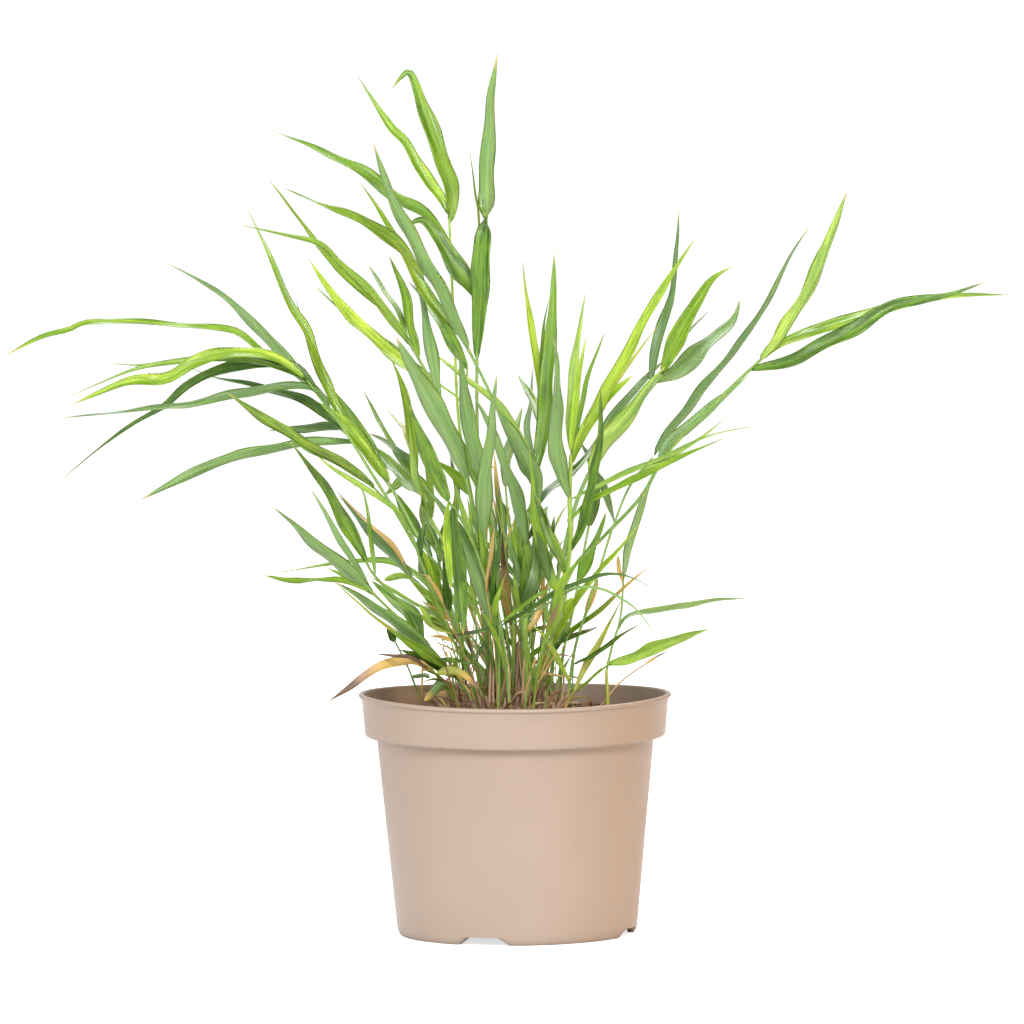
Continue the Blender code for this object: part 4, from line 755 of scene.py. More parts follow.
def blade_course(leaf_row, culm_line, shift, slide):
    """The points that a blade passes, and which point of the culm it starts at."""
    x0, z0 = leaf_row["path"][0]
    best = min(range(len(culm_line)),
               key=lambda i: (culm_line[i] - seen(x0, z0, culm_line[i].y)).length)
    step = (culm_line[-1] - culm_line[0]).length / (len(culm_line) - 1)
    best = min(len(culm_line) - 1, max(LOWEST_BLADE_START, best + round(slide / step)))
    base = culm_line[best]
    run = run_of(leaf_row["path"])
    points = [base.copy()]
    for (x, z), length in zip(leaf_row["path"][1:], run[1:]):
        share = length / run[-1]
        points.append(seen(x, z, base.y + leaf_row["reach"] * share ** 1.15
                           + shift * ease(share / 0.4)))
    return points, best


def solid_of(node):
    """A search tree of a node's surface, in millimetres."""
    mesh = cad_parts[node].data
    return BVHTree.FromPolygons([vert.co / MM for vert in mesh.vertices],
                                [tuple(face.vertices) for face in mesh.polygons])


def depth_in(tree, point):
    """How far a point is outside the solid, or less than nothing inside it."""
    near, normal, _, distance = tree.find_nearest(point)
    return distance if (point - near).dot(normal) > 0 else -distance


def fit_culm(row, tree):
    """The curve of a culm whose middle lies deepest in the solid."""
    pairs = [(f, t) for t in CULM_SHIFTS for f in FOOT_SHIFTS]
    pairs.sort(key=lambda pair: abs(pair[0]) * 2 + abs(pair[1]))

    def miss(pair):
        line = straightened(culm_curve(row, *pair))[2::4]
        return sum(max(-row["thickness"] / 2, depth_in(tree, point)) for point in line)

    return culm_curve(row, *min(pairs, key=miss))


def fit_blade(leaf_row, culm_line, tree):
    """The course of a blade whose middle line lies on the solid's upper face."""
    moves = [(s, m) for m in BASE_SLIDES for s in BLADE_SHIFTS]
    moves.sort(key=lambda move: abs(move[0]) + 4 * abs(move[1]))

    def miss(move):
        points, _ = blade_course(leaf_row, culm_line, *move)
        length = run_of(points)[-1]
        count = min(BLADE_MOST_SEGMENTS,
                    max(BLADE_FEWEST_SEGMENTS, round(length / BLADE_SEGMENT_LENGTH) + 1))
        line = smoothed(points, count)
        outer = [a.lerp(b, t) for a, b in zip(line[1:], line[2:]) for t in (0.0, 0.5)]
        away = [abs(depth_in(tree, point)) for point in [*outer, line[-1]]]
        return round(sum(away) / len(away), 2)

    return blade_course(leaf_row, culm_line, *min(moves, key=miss))


def blade_width(leaf_row, share):
    """The full width of a blade at a share of its length, drawn out to a fine tip."""
    turned = max(0.3, abs(math.cos(math.radians(leaf_row["turn"]))))
    broad = LEAF_BREADTH * leaf_row["width"] / turned
    start = BASE_SHARE + (1 - BASE_SHARE) * math.sin(min(1.0, share / WIDEST_AT) * math.pi / 2)
    return max(TIP_WIDTH, broad * start * (1 - share ** leaf_row["full"]))


def blade_frame(ahead, turn, heading):
    """The blade's sideways direction and its upper face's direction."""
    front = Vector((0, -1, 0))
    facing = (front - ahead * front.dot(ahead)).normalized()
    inward = ahead.cross(facing) * heading
    normal = facing * math.cos(turn) + inward * math.sin(turn)
    return ahead.cross(normal), normal


def mesh_from(name, shape, material=None):
    """A mesh made from a shape, which is used up."""
    mesh = bpy.data.meshes.new(name)
    shape.to_mesh(mesh)
    shape.free()
    if material:
        mesh.materials.append(material)
    return mesh


def placed(name, data):
    """A new object in the scene."""
    made = bpy.data.objects.new(name, data)
    bpy.context.scene.collection.objects.link(made)
    return made


def smooth_object(name, shape, material, sharp_angle=None):
    """A shape in millimetres as a smooth object in metres, with a crease wherever its faces
    meet at more than the sharp angle."""
    bmesh.ops.scale(shape, vec=(MM, MM, MM), verts=shape.verts)
    for face in shape.faces:
        face.smooth = True
    mesh = mesh_from(name, shape, material)
    if sharp_angle:
        mesh.set_sharp_from_angle(angle=math.radians(sharp_angle))
    return placed(name, mesh)


class Piece:
    """A mesh in the making, with what the materials read from its points."""

    def __init__(self):
        self.shape = bmesh.new()
        layers = self.shape.verts.layers.float_vector
        self.place = layers.new("leaf_place")
        self.tone = layers.new("leaf_tone")
        self.skin = layers.new("leaf_skin")

    def rolled(self, rows, around, section):
        """Rolls a flat grid up into a closed skin. section(row, turn) gives the point, the
        place, the tone and the skin where turn goes once round the row, 0 to 1."""
        made = bmesh.ops.create_grid(self.shape, x_segments=around, y_segments=rows, size=0.5)
        for vert in made["verts"]:
            row = round((vert.co.y + 0.5) * rows)
            turn = round((vert.co.x + 0.5) * around) % around / around
            point, place, tone, skin = section(row, turn)
            vert.co = point
            vert[self.place] = place
            vert[self.tone] = tone
            vert[self.skin] = skin
        bmesh.ops.remove_doubles(self.shape, verts=made["verts"], dist=0.0005)

    def marked(self, verts, tone, chance):
        """Gives loose bits one tone and one random number."""
        for vert in verts:
            vert[self.place] = vert.co
            vert[self.tone] = tone
            vert[self.skin] = (0.5, chance, 0.0)

    def finished(self, name, material, sharp_angle=None):
        """The object, with its faces pointing outwards."""
        bmesh.ops.recalc_face_normals(self.shape, faces=self.shape.faces)
        return smooth_object(name, self.shape, material, sharp_angle)


def other_side(tone, turn):
    """The tones of a leaf's upper and lower faces, from the side that is seen."""
    lime, grey, dry = tone
    if turn < 90:
        return tone, (min(1.0, 0.25 + lime * 0.7), max(grey, 0.8 * (1 - dry)), dry)
    return (lime * 0.85, grey * 0.1, dry), tone


def across_at(turn):
    """Whether a place round a rolled strip is on its upper face, and how far across it is,
    from -1 to 1."""
    on_top = turn <= 0.5
    return on_top, 1 - 4 * turn if on_top else 4 * turn - 3


def arched(across, half, bend):
    """How far out and up a place across a strip is that bends by an angle from edge to edge."""
    radius = half / (bend / 2)
    return radius * math.sin(across * bend / 2), radius * (1 - math.cos(across * bend / 2))


def on_stem(point, ahead, across, radius, turn, run, tone, chance):
    """What Piece.rolled asks for, at a place round a stem."""
    side = ahead.cross(across).normalized()
    back = side.cross(ahead)
    angle = math.tau * turn
    spot = point + radius * (side * math.cos(angle) + back * math.sin(angle))
    return spot, (3 * math.sin(angle), run, 0.3), tone, (0.6, chance, 6.0)


def leaf(piece, leaf_row, points, chance, culm_radius):
    """A blade with a trough, a fold along its midrib, rippled edges and a drawn-out tip."""
    line = smoothed(points, LEAF_ROWS)
    lengths = run_of(line)
    heading = 1.0 if points[-1].x < points[0].x else -1.0
    upper, lower = other_side(TONES[leaf_row["tone"]], leaf_row["turn"])
    frames = []
    for row, point in enumerate(line):
        share = row / LEAF_ROWS
        sway = LEAF_SWAY * math.sin(share * 5.5 + chance * 40) * ease(share / 0.3)
        if leaf_row["twist"]:
            middle, amount = leaf_row["twist"]
            sway = amount * ease((share - middle) / TWIST_LENGTH + 0.5)
        turned = math.radians(leaf_row["turn"] + sway)
        frames.append((point, *blade_frame(heading_at(line, row), turned, heading)))

    def section(row, turn):
        point, side, normal = frames[row]
        share = row / LEAF_ROWS
        half = blade_width(leaf_row, share) / 2
        ruffle = math.sin(lengths[row] * 0.17 + chance * 50)
        half *= 1 + EDGE_RIPPLE * ruffle * ease(share / 0.3)
        on_top, across = across_at(turn)
        opening = ease(share / 0.12)
        bend = BASE_WRAP * (1 - opening) + TROUGH * opening * (1 - 0.5 * share)
        out, up = arched(across, half, bend)
        up += FOLD * half * abs(across)
        wave = EDGE_WAVE * half * math.sin(lengths[row] * 0.15 + chance * 30 + 1.6 * across)
        up += wave * across * abs(across) * ease(share / 0.2)
        up -= LEAF_SINK * half * opening + (1 - opening) * culm_radius
        if not on_top:
            rim = math.sqrt(max(0.0, 1 - across * across))
            up -= LEAF_THICKNESS * (0.35 + 0.65 * (1 - share)) * rim
            up -= MIDRIB_DEPTH * (1 - share) ** 2 * math.exp(-(across / MIDRIB_SHARE) ** 2)
        if row in (0, LEAF_ROWS):
            out, up = 0.0, -0.3
        at_edge = turn in (0.0, 0.5)
        under = 0.5 if at_edge else (0.0 if on_top else 1.0)
        tone = Vector(upper).lerp(Vector(lower), under)
        place = (across * half, lengths[row], share)
        return point + side * out + normal * up, place, tone, (under, chance, half)

    piece.rolled(LEAF_ROWS, LEAF_AROUND, section)


def culm(piece, row, curve, collars, chance):
    """A round tapered culm in its sheaths, with a collar where each blade leaves it."""
    length = run_of(curve)[-1]
    rows = max(20, round(length / CULM_ROW_STEP))
    line = smoothed(curve, rows)
    marks = sorted(share for share in collars if share < 0.98)
    green = Vector(CULM_TONES[row["stem"]])
    joints = [index / rows for index in range(12 + int(chance * 9), rows, JOINT_ROWS)]

    def section(index, turn):
        share = index / rows
        point = line[index]
        above = [mark for mark in marks if mark >= share]
        to_collar = (above[0] - share) * length if above else math.inf
        to_joint = min((abs(joint - share) * length for joint in joints), default=math.inf)
        radius = CULM_LEAN * row["thickness"] / 2 * (1 - CULM_TAPER * share)
        sheathed = to_collar < SHEATH_LENGTH
        if sheathed:
            radius *= (1 + SHEATH_SWELL * (1 - to_collar / SHEATH_FADE)
                       + COLLAR_SWELL * (to_collar < COLLAR_LENGTH))
        radius *= 1 + JOINT_SWELL * math.exp(-(to_joint / JOINT_LENGTH) ** 2)
        if index in (0, rows):
            radius = 0.0
        low = 1 - ease((point.z - 124) / 20)
        tone = green.lerp(Vector(CULM_FOOT_TONE), low * (0.1 + 0.6 * chance))
        tone = tone.lerp(Vector(JOINT_TONE), 0.5 * math.exp(-(to_joint / 1.2) ** 2))
        if sheathed:
            tone.y = min(1.0, tone.y + 0.25)
        return on_stem(point, heading_at(line, index), Vector((0, 1, 0)), radius, turn,
                       share * length, tone, chance)

    piece.rolled(rows, CULM_AROUND, section)


def stalk(piece, points, radius, taper, tone, chance, rows, around, ragged=0.0):
    """A thin stem or cut stub through the given points, with a ragged end."""
    line = smoothed(points, rows)
    lengths = run_of(line)

    def section(row, turn):
        ahead = heading_at(line, row)
        size = radius * (1 - taper * row / rows)
        point = line[row]
        if row == rows:
            point = point - ahead * ragged * 1.6
            size *= 0.3
        if row == rows - 1:
            point = point + ahead * ragged * math.sin(math.tau * turn * 3 + chance * 9)
        if row == 0:
            size = 0.0
        return on_stem(point, ahead, Vector((0.3, 1, 0.2)), size, turn, lengths[row], tone,
                       chance)

    piece.rolled(rows, around, section)


def scrap(piece, points, width, tone, chance, curl, rows):
    """A torn strip of dead sheath or leaf, curled across."""
    line = smoothed(points, rows)
    lengths = run_of(line)

    def section(row, turn):
        share = row / rows
        ahead = heading_at(line, row)
        side = ahead.cross(Vector((0.2, -0.4, 1))).normalized()
        side = Matrix.Rotation(1.3 * math.sin(chance * 20 + share * 1.5), 3, ahead) @ side
        normal = side.cross(ahead)
        half = width / 2 * math.sin(math.pi * (0.12 + 0.88 * share) ** 0.8) ** 0.6
        on_top, across = across_at(turn)
        out, up = arched(across, max(0.1, half), curl)
        if not on_top:
            up -= 0.28
        if row in (0, rows):
            out, up = 0.0, 0.0
        if turn in (0.0, 0.5):
            up -= 0.14
        place = (across * half, lengths[row], 0.5)
        return line[row] + side * out + normal * up, place, tone, (0.5, chance, width / 2)

    piece.rolled(rows, 8, section)


def in_thicket(point):
    """Whether a point is among the crowded stems over the crown."""
    return THICKET_LEFT < point.x < THICKET_RIGHT and point.z < THICKET_TOP


def young_stems(piece, curve, draws):
    """Thin stems beside a culm that each end in a narrow leaf, as deep in the thicket."""
    length = run_of(curve)[-1]
    for _ in range(YOUNG_STEMS if length > LONG_CULM else 1):
        reach = min(1.0, draws.uniform(*YOUNG_STEM_REACH) / length)
        angle = draws.uniform(0, math.tau)
        aside = Vector((math.cos(angle), math.sin(angle), 0)) * draws.uniform(*YOUNG_STEM_ASIDE)
        spread = draws.uniform(*YOUNG_STEM_SPREAD)
        points = []
        for step in range(5):
            place = reach * step / 4 * CULM_POINTS
            along = curve[int(place)].lerp(curve[min(CULM_POINTS, int(place) + 1)], place % 1)
            points.append(along + aside * (1 + (spread - 1) * step / 4))
        points[0].z = ground_height(points[0].x, points[0].y) - 0.6
        chance = draws.random()
        dead = draws.random() < DEAD_SHARE
        dry = draws.choice(DEAD_DRYNESS) if dead else 0.0
        tone = (*drawn(draws, *YOUNG_STEM_TONES), dry)
        radius = draws.uniform(*YOUNG_STEM_RADIUS)
        if in_thicket(points[0]) and in_thicket(points[-1]):
            stalk(piece, points, radius, 0.3, tone, chance, 24, 7)
            ahead = (points[-1] - points[-2]).normalized()
            narrow_leaf(piece, points[-1] - ahead * 3, ahead, draws, dry > 0)


def narrow_leaf(piece, base, ahead, draws, dry):
    """A short narrow leaf that leaves a stem at a slant and droops a little."""
    slant = Vector(drawn(draws, (-1, 1), (-1, 1), (-0.5, 0.5)))
    heading = (ahead + slant * draws.uniform(*NARROW_SLANT)).normalized()
    length = draws.uniform(*NARROW_LENGTH)
    droop = draws.uniform(*NARROW_DROOP)
    tone = draws.choice(DRY_TONES if dry else FRESH_TONES)
    width = draws.uniform(*NARROW_WIDTH)
    for thinner in (dry, base.z < NARROW_LOW):
        width *= 0.5 if thinner else 1.0
    leaf_row = blade(tone, width, draws.choice(NARROW_TURNS), 0)
    chance = draws.random()
    while length > NARROW_SHORTEST and not in_thicket(base + heading * length):
        length *= 0.8
    sag = Vector((0, 0, -droop * length))
    points = [base, base + heading * length * 0.34, base + heading * length * 0.68 + sag * 0.3,
              base + heading * length + sag]
    if in_thicket(base) and length > NARROW_SHORTEST:
        leaf(piece, leaf_row, points, chance, 0.6)


def joint_leaves(piece, curve, draws):
    """Short leaves from the joints low on a culm."""
    for place in draws.sample(range(6, CULM_POINTS - 4), JOINT_LEAVES):
        ahead = (curve[place + 2] - curve[place]).normalized()
        dry = curve[place].z < DRY_LEAF_TOP and draws.random() < DRY_LEAF_SHARE
        narrow_leaf(piece, curve[place], ahead, draws, dry)


def grow_shoot(number, row, material):
    """One culm with its leaves, laid on the solid of its node."""
    node = f"shoot_{number:02d}"
    tree = solid_of(node)
    draws = random.Random(number)
    piece = Piece()
    curve = fit_culm(row, tree)
    bent = straightened(curve)
    collars = []
    for leaf_row in row["blades"]:
        points, start = fit_blade(leaf_row, bent, tree)
        points[0] = curve[start].copy()
        collars.append(start / CULM_POINTS)
        radius = row["thickness"] / 2 * (1 - CULM_TAPER * collars[-1])
        leaf(piece, leaf_row, points, draws.random(), radius)
    culm(piece, row, curve, collars, draws.random())
    for leaf_row in THIN_LEAVES.get(number, ()):
        points, _ = blade_course(leaf_row, bent, 0.0, 0.0)
        leaf(piece, leaf_row, points, draws.random(), 0.5)
    young_stems(piece, curve, draws)
    joint_leaves(piece, curve, draws)
    made = piece.finished(node + "_leaves", material)
    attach(made, "root")
    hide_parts(node)


def pot_outline():
    """The pot's section from the axis up the inside, over the lip and down the outside."""
    inner = COLLAR_TOP_RADIUS - WALL
    ring_inner = BASE_RADIUS - FOOT_RING_WIDTH
    low = COLLAR_FOOT
    floor = FOOT_HEIGHT + PLATE
    return (
        (0.0, floor), (BASE_RADIUS - WALL - 2.0, floor), (BASE_RADIUS - WALL - 0.8, floor + 1.0),
        (BODY_TOP_RADIUS - WALL - 0.2, low - 1.0), (BODY_TOP_RADIUS - WALL + 0.4, low + 0.8),
        (COLLAR_LOW_RADIUS - WALL - 0.6, low + 2.6), (COLLAR_LOW_RADIUS - WALL, low + 4.0),
        (inner - 0.1, POT_HEIGHT - 1.2), (inner + 0.15, POT_HEIGHT - 0.35),
        (inner + 0.6, POT_HEIGHT), (RIM_RADIUS - 0.9, POT_HEIGHT),
        (RIM_RADIUS - 0.3, POT_HEIGHT - 0.25), (RIM_RADIUS, POT_HEIGHT - 0.8),
        (RIM_RADIUS - 0.02, POT_HEIGHT - 1.5), (RIM_RADIUS - 0.35, POT_HEIGHT - 2.0),
        (COLLAR_TOP_RADIUS + 0.35, POT_HEIGHT - LIP_HEIGHT - 0.1),
        (COLLAR_TOP_RADIUS, POT_HEIGHT - LIP_HEIGHT - 0.8),
        (COLLAR_LOW_RADIUS + 0.7, low + 10.0), (COLLAR_LOW_RADIUS + 0.05, low + 1.9),
        (COLLAR_LOW_RADIUS - 0.15, low + 0.9), (COLLAR_LOW_RADIUS - 0.7, low + 0.2),
        (COLLAR_LOW_RADIUS - 1.6, low), (BODY_TOP_RADIUS + 1.0, low - 0.1),
        (BODY_TOP_RADIUS + 0.2, low - 0.6), (BODY_TOP_RADIUS - 0.1, low - 1.8),
        (BODY_TOP_RADIUS - 3.4, low * 0.66), (BODY_TOP_RADIUS - 6.8, low * 0.33),
        (BASE_RADIUS + 0.5, 6.0), (BASE_RADIUS + 0.2, 3.6), (BASE_RADIUS - 0.4, 1.8),
        (BASE_RADIUS - 1.4, 0.4), (BASE_RADIUS - 2.2, 0.0), (ring_inner + 0.4, 0.0),
        (ring_inner, 0.5), (ring_inner - 0.3, FOOT_HEIGHT), (0.0, FOOT_HEIGHT),
    )


def spun(profile, steps):
    """A closed turned shape from a section drawn from the axis to the axis."""
    shape = bmesh.new()
    points = [shape.verts.new((radius, 0, height)) for radius, height in profile]
    edges = [shape.edges.new(pair) for pair in zip(points, points[1:])]
    bmesh.ops.spin(shape, geom=points + edges, cent=(0, 0, 0), axis=(0, 0, 1),
                   angle=math.tau, steps=steps, use_merge=True)
    bmesh.ops.remove_doubles(shape, verts=shape.verts, dist=0.001)
    bmesh.ops.recalc_face_normals(shape, faces=shape.faces)
    return shape


def notch_at(x, y):
    """How far up a notch the foot ring is cut there, 0 to 1."""
    angle = math.degrees(math.atan2(y, x))
    spacing = 360.0 / NOTCH_COUNT
    away = (angle - NOTCH_FIRST_ANGLE + spacing / 2) % spacing - spacing / 2
    across = abs(math.radians(away)) * BASE_RADIUS
    return clamped((NOTCH_WIDTH_LOW / 2 - across)
                   / (NOTCH_WIDTH_LOW / 2 - NOTCH_WIDTH_HIGH / 2))


def shade_inside(vert):
    """How much painted shade darkens the pot there: 1 on the inside and 2 under the base plate."""
    x, y, z = vert.co
    if z <= FOOT_HEIGHT and math.hypot(x, y) < BASE_RADIUS - 2.5:
        return 2.0
    outward = vert.normal.x * x + vert.normal.y * y
    return 1.0 if outward < -0.2 * math.hypot(x, y) and z > FOOT_HEIGHT else 0.0


def turn_pot(plastic):
    """The moulded pot, its lip a little out of true and its foot cut by four notches."""
    shape = spun(pot_outline(), POT_STEPS)
    shape.normal_update()
    inside = shape.verts.layers.float.new("pot_painted_shade")
    for vert in shape.verts:
        x, y, z = vert.co
        # Painted shade inside the pot and under its base
        vert[inside] = shade_inside(vert)
        if z < FOOT_HEIGHT:
            vert.co.z = z + (FOOT_HEIGHT - 0.1 - z) * notch_at(x, y)
        angle = math.atan2(y, x)
        high = ease((z - WARP_START) / (POT_HEIGHT - WARP_START))
        vert.co.z += high * (0.9 * math.cos(2 * angle) - 0.6 * math.cos(angle)
                             + 0.4 * math.sin(angle) - RIM_DIP)
        swell = 1 + high * RIM_OVAL * math.cos(2 * angle + 0.5)
        vert.co.x *= swell
        vert.co.y *= swell
    made = smooth_object("pot_moulding", shape, plastic, POT_SHARP_ANGLE)
    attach(made, "root")
    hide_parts("pot")


def bit(piece, place, size, turn, tone, chance):
    """A small rough block, such as a crumb of bark."""
    matrix = Matrix.Translation(place) @ turn.to_matrix().to_4x4() @ Matrix.Diagonal((*size, 1.0))
    made = bmesh.ops.create_cube(piece.shape, size=1.0, matrix=matrix)["verts"]
    for vert in made:
        vert.co += Vector(noise.noise_vector(vert.co * 0.9)) * min(size) * 0.55
    piece.marked(made, tone, chance)


def tilted(draws, steep=0.5):
    """A random heading, tipped over by up to that many radians."""
    turn = Matrix.Rotation(draws.uniform(0, math.tau), 3, "Z")
    tip = Matrix.Rotation(draws.uniform(-steep, steep), 3, "X")
    roll = Matrix.Rotation(draws.uniform(-steep, steep), 3, "Y")
    return (turn @ tip @ roll).to_quaternion()


def fill_soil(compost):
    """Bark and peat compost: a lumpy plug with crumbs and chips lying on it."""
    floor = FOOT_HEIGHT + PLATE + GAP
    inset = WALL + GAP + 0.15
    edge = COLLAR_LOW_RADIUS - inset - 0.3
    piece = Piece()
    top = [(edge * ring / SOIL_RINGS, SOIL_EDGE_HEIGHT) for ring in range(SOIL_RINGS + 1)]
    below = [(edge - 0.2, COLLAR_FOOT + 4.2), (BODY_TOP_RADIUS - inset - 0.6, COLLAR_FOOT + 0.4),
             (BASE_RADIUS - inset - 1.2, floor), (0.0, floor)]
    piece.shape.from_mesh(mesh_from("soil_plug", spun([*top, *below], SOIL_STEPS)))
    for vert in piece.shape.verts:
        x, y, z = vert.co
        if z > SOIL_EDGE_HEIGHT - 0.1:
            crumbs = 0.9 * ripple((x, y, 0), 6.0) + 0.7 * abs(ripple((x, y, 0), 2.6, 3.0))
            vert.co.z = soil_height(x, y) + crumbs - 0.3
    piece.marked(piece.shape.verts, (0.2, 0.0, 0.0), 0.4)
    draws = random.Random(CRUMB_SEED)
    for _ in range(CRUMB_COUNT):
        radius = edge * math.sqrt(draws.random()) * 0.985
        angle = draws.uniform(0, math.tau)
        x, y = radius * math.cos(angle), radius * math.sin(angle)
        chip = draws.random() < CHIP_SHARE
        size = drawn(draws, *(CHIP_SIZES if chip else CRUMB_SIZES))
        place = Vector((x, y, soil_height(x, y) + draws.uniform(-0.2, 0.7)))
        tone = (draws.uniform(0.0, 1.0), 0.0, 1.0 if chip else 0.0)
        bit(piece, place, size, tilted(draws), tone, draws.random())
    made = piece.finished("soil_surface", compost, SOIL_SHARP_ANGLE)
    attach(made, "root")
    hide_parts("soil")


def crown_spot(angle, share, spread, sunk):
    """A point a little under the crown's surface, at a share of the way to its spread edge."""
    x = CROWN_CENTRE[0] + spread * CROWN_RADII[0] * share * math.cos(angle)
    y = CROWN_CENTRE[1] + spread * CROWN_RADII[1] * share * math.sin(angle)
    return Vector((x, y, ground_height(x, y) - sunk))


def bowed(base, lean, height, bend):
    """A straight line up from a base, bowed out in the middle."""
    return [base, base + lean * height * 0.5 + bend, base + lean * height]


def crown_dome(piece):
    """The frayed dome that the stubs stand in."""
    shape = piece.shape
    bmesh.ops.create_icosphere(shape, subdivisions=5, radius=1.0)
    cut = bmesh.ops.bisect_plane(shape, geom=[*shape.verts, *shape.edges, *shape.faces],
                                 plane_co=(0, 0, 0), plane_no=(0, 0, -1), clear_outer=True)
    rim = [edge for edge in cut["geom_cut"] if isinstance(edge, bmesh.types.BMEdge)]
    bmesh.ops.contextual_create(shape, geom=rim)
    floor = SOIL_MIDDLE_HEIGHT + SOIL_LUMP + GAP
    top = CROWN_SEAT + CROWN_HEIGHT
    for vert in shape.verts:
        x, y, z = vert.co
        vert.co.x = CROWN_CENTRE[0] + CROWN_RADII[0] * 0.97 * x
        vert.co.y = CROWN_CENTRE[1] + CROWN_RADII[1] * 0.97 * y
        fray = 1.6 * ripple(vert.co, 3.0) + 1.0 * ripple(vert.co, 1.4, 5.0)
        vert.co.z = floor + (top - 0.6 - floor) * z + fray * ease(z * 4)
    piece.marked(shape.verts, (0.2, 0.0, 0.9), 0.3)


def cut_stubs(piece, draws):
    """Stubs of old culms all over the crown, leaning outwards."""
    for number in range(STUB_COUNT):
        share = math.sqrt((number + 0.5) / STUB_COUNT)
        base = crown_spot(number * GOLDEN_ANGLE, share, 0.95, 2.5)
        away = Vector((base.x - CROWN_CENTRE[0], base.y - CROWN_CENTRE[1], 0)) / CROWN_RADII[0]
        away *= draws.uniform(*STUB_LEAN)
        lean = (away + Vector((*drawn(draws, (-0.3, 0.3), (-0.3, 0.3)), 1))).normalized()
        height = draws.uniform(*STUB_HEIGHT)
        if share < 0.75:
            height += draws.uniform(*STUB_EXTRA_HEIGHT)
        bend = Vector((*drawn(draws, (-1, 1), (-1, 1)), 0)) * 0.9
        tone = drawn(draws, *STUB_TONES)
        stalk(piece, bowed(base, lean, height, bend), draws.uniform(*STUB_RADIUS), 0.2, tone,
              draws.random(), 6, 7, 0.5)


def sheath_scraps(piece, draws):
    """Curled strips of split sheath that point outwards."""
    for _ in range(SCRAP_COUNT):
        angle = draws.uniform(0, math.tau)
        share = math.sqrt(draws.random())
        base = crown_spot(angle, share, 0.98, 1.0)
        heading = angle + draws.uniform(-0.9, 0.9)
        out = Vector((math.cos(heading), math.sin(heading), 0))
        length = draws.uniform(*SCRAP_LENGTH)
        rise = draws.uniform(*SCRAP_RISE)
        points = [base, base + out * length * 0.4 + Vector((0, 0, length * rise * 0.6)),
                  base + out * length * 0.85 + Vector((0, 0, length * rise * 0.7))]
        tone = drawn(draws, *SCRAP_TONES)
        scrap(piece, points, draws.uniform(*SCRAP_WIDTH), tone, draws.random(), SCRAP_CURL, 8)


def old_stems(piece, draws):
    """The old stems that can be told apart."""
    for tone, radius, depth, *path in OLD_STEMS:
        points = [seen(x, z, depth) for x, z in path]
        stalk(piece, points, radius, 0.35, TONES[tone], draws.random(), 12, 8, 0.8)


def dead_stems(piece, draws):
    """Thin dead stems that stand up between the stubs."""
    for _ in range(DEAD_STEM_COUNT):
        angle = draws.uniform(0, math.tau)
        share = math.sqrt(draws.random()) * 0.95
        base = crown_spot(angle, share, 1.0, 1.5)
        lean = Vector((*drawn(draws, (-0.45, 0.45), (-0.45, 0.45)), 1)).normalized()
        height = draws.uniform(*DEAD_STEM_HEIGHT)
        bend = Vector((*drawn(draws, (-1, 1), (-1, 1)), 0)) * 2.0
        tone = TONES[draws.choice(DEAD_STEM_TONES)]
        stalk(piece, bowed(base, lean, height, bend), draws.uniform(*DEAD_STEM_RADIUS), 0.3,
              tone, draws.random(), 10, 6, 0.5)


def mat_crown(stubble):
    """The mat of brown bases, cut stubs, split sheaths and fine dead stems."""
    piece = Piece()
    draws = random.Random(CROWN_SEED)
    crown_dome(piece)
    cut_stubs(piece, draws)
    sheath_scraps(piece, draws)
    old_stems(piece, draws)
    dead_stems(piece, draws)
    made = piece.finished("crown_mat", stubble, CROWN_SHARP_ANGLE)
    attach(made, "root")
    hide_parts("crown")


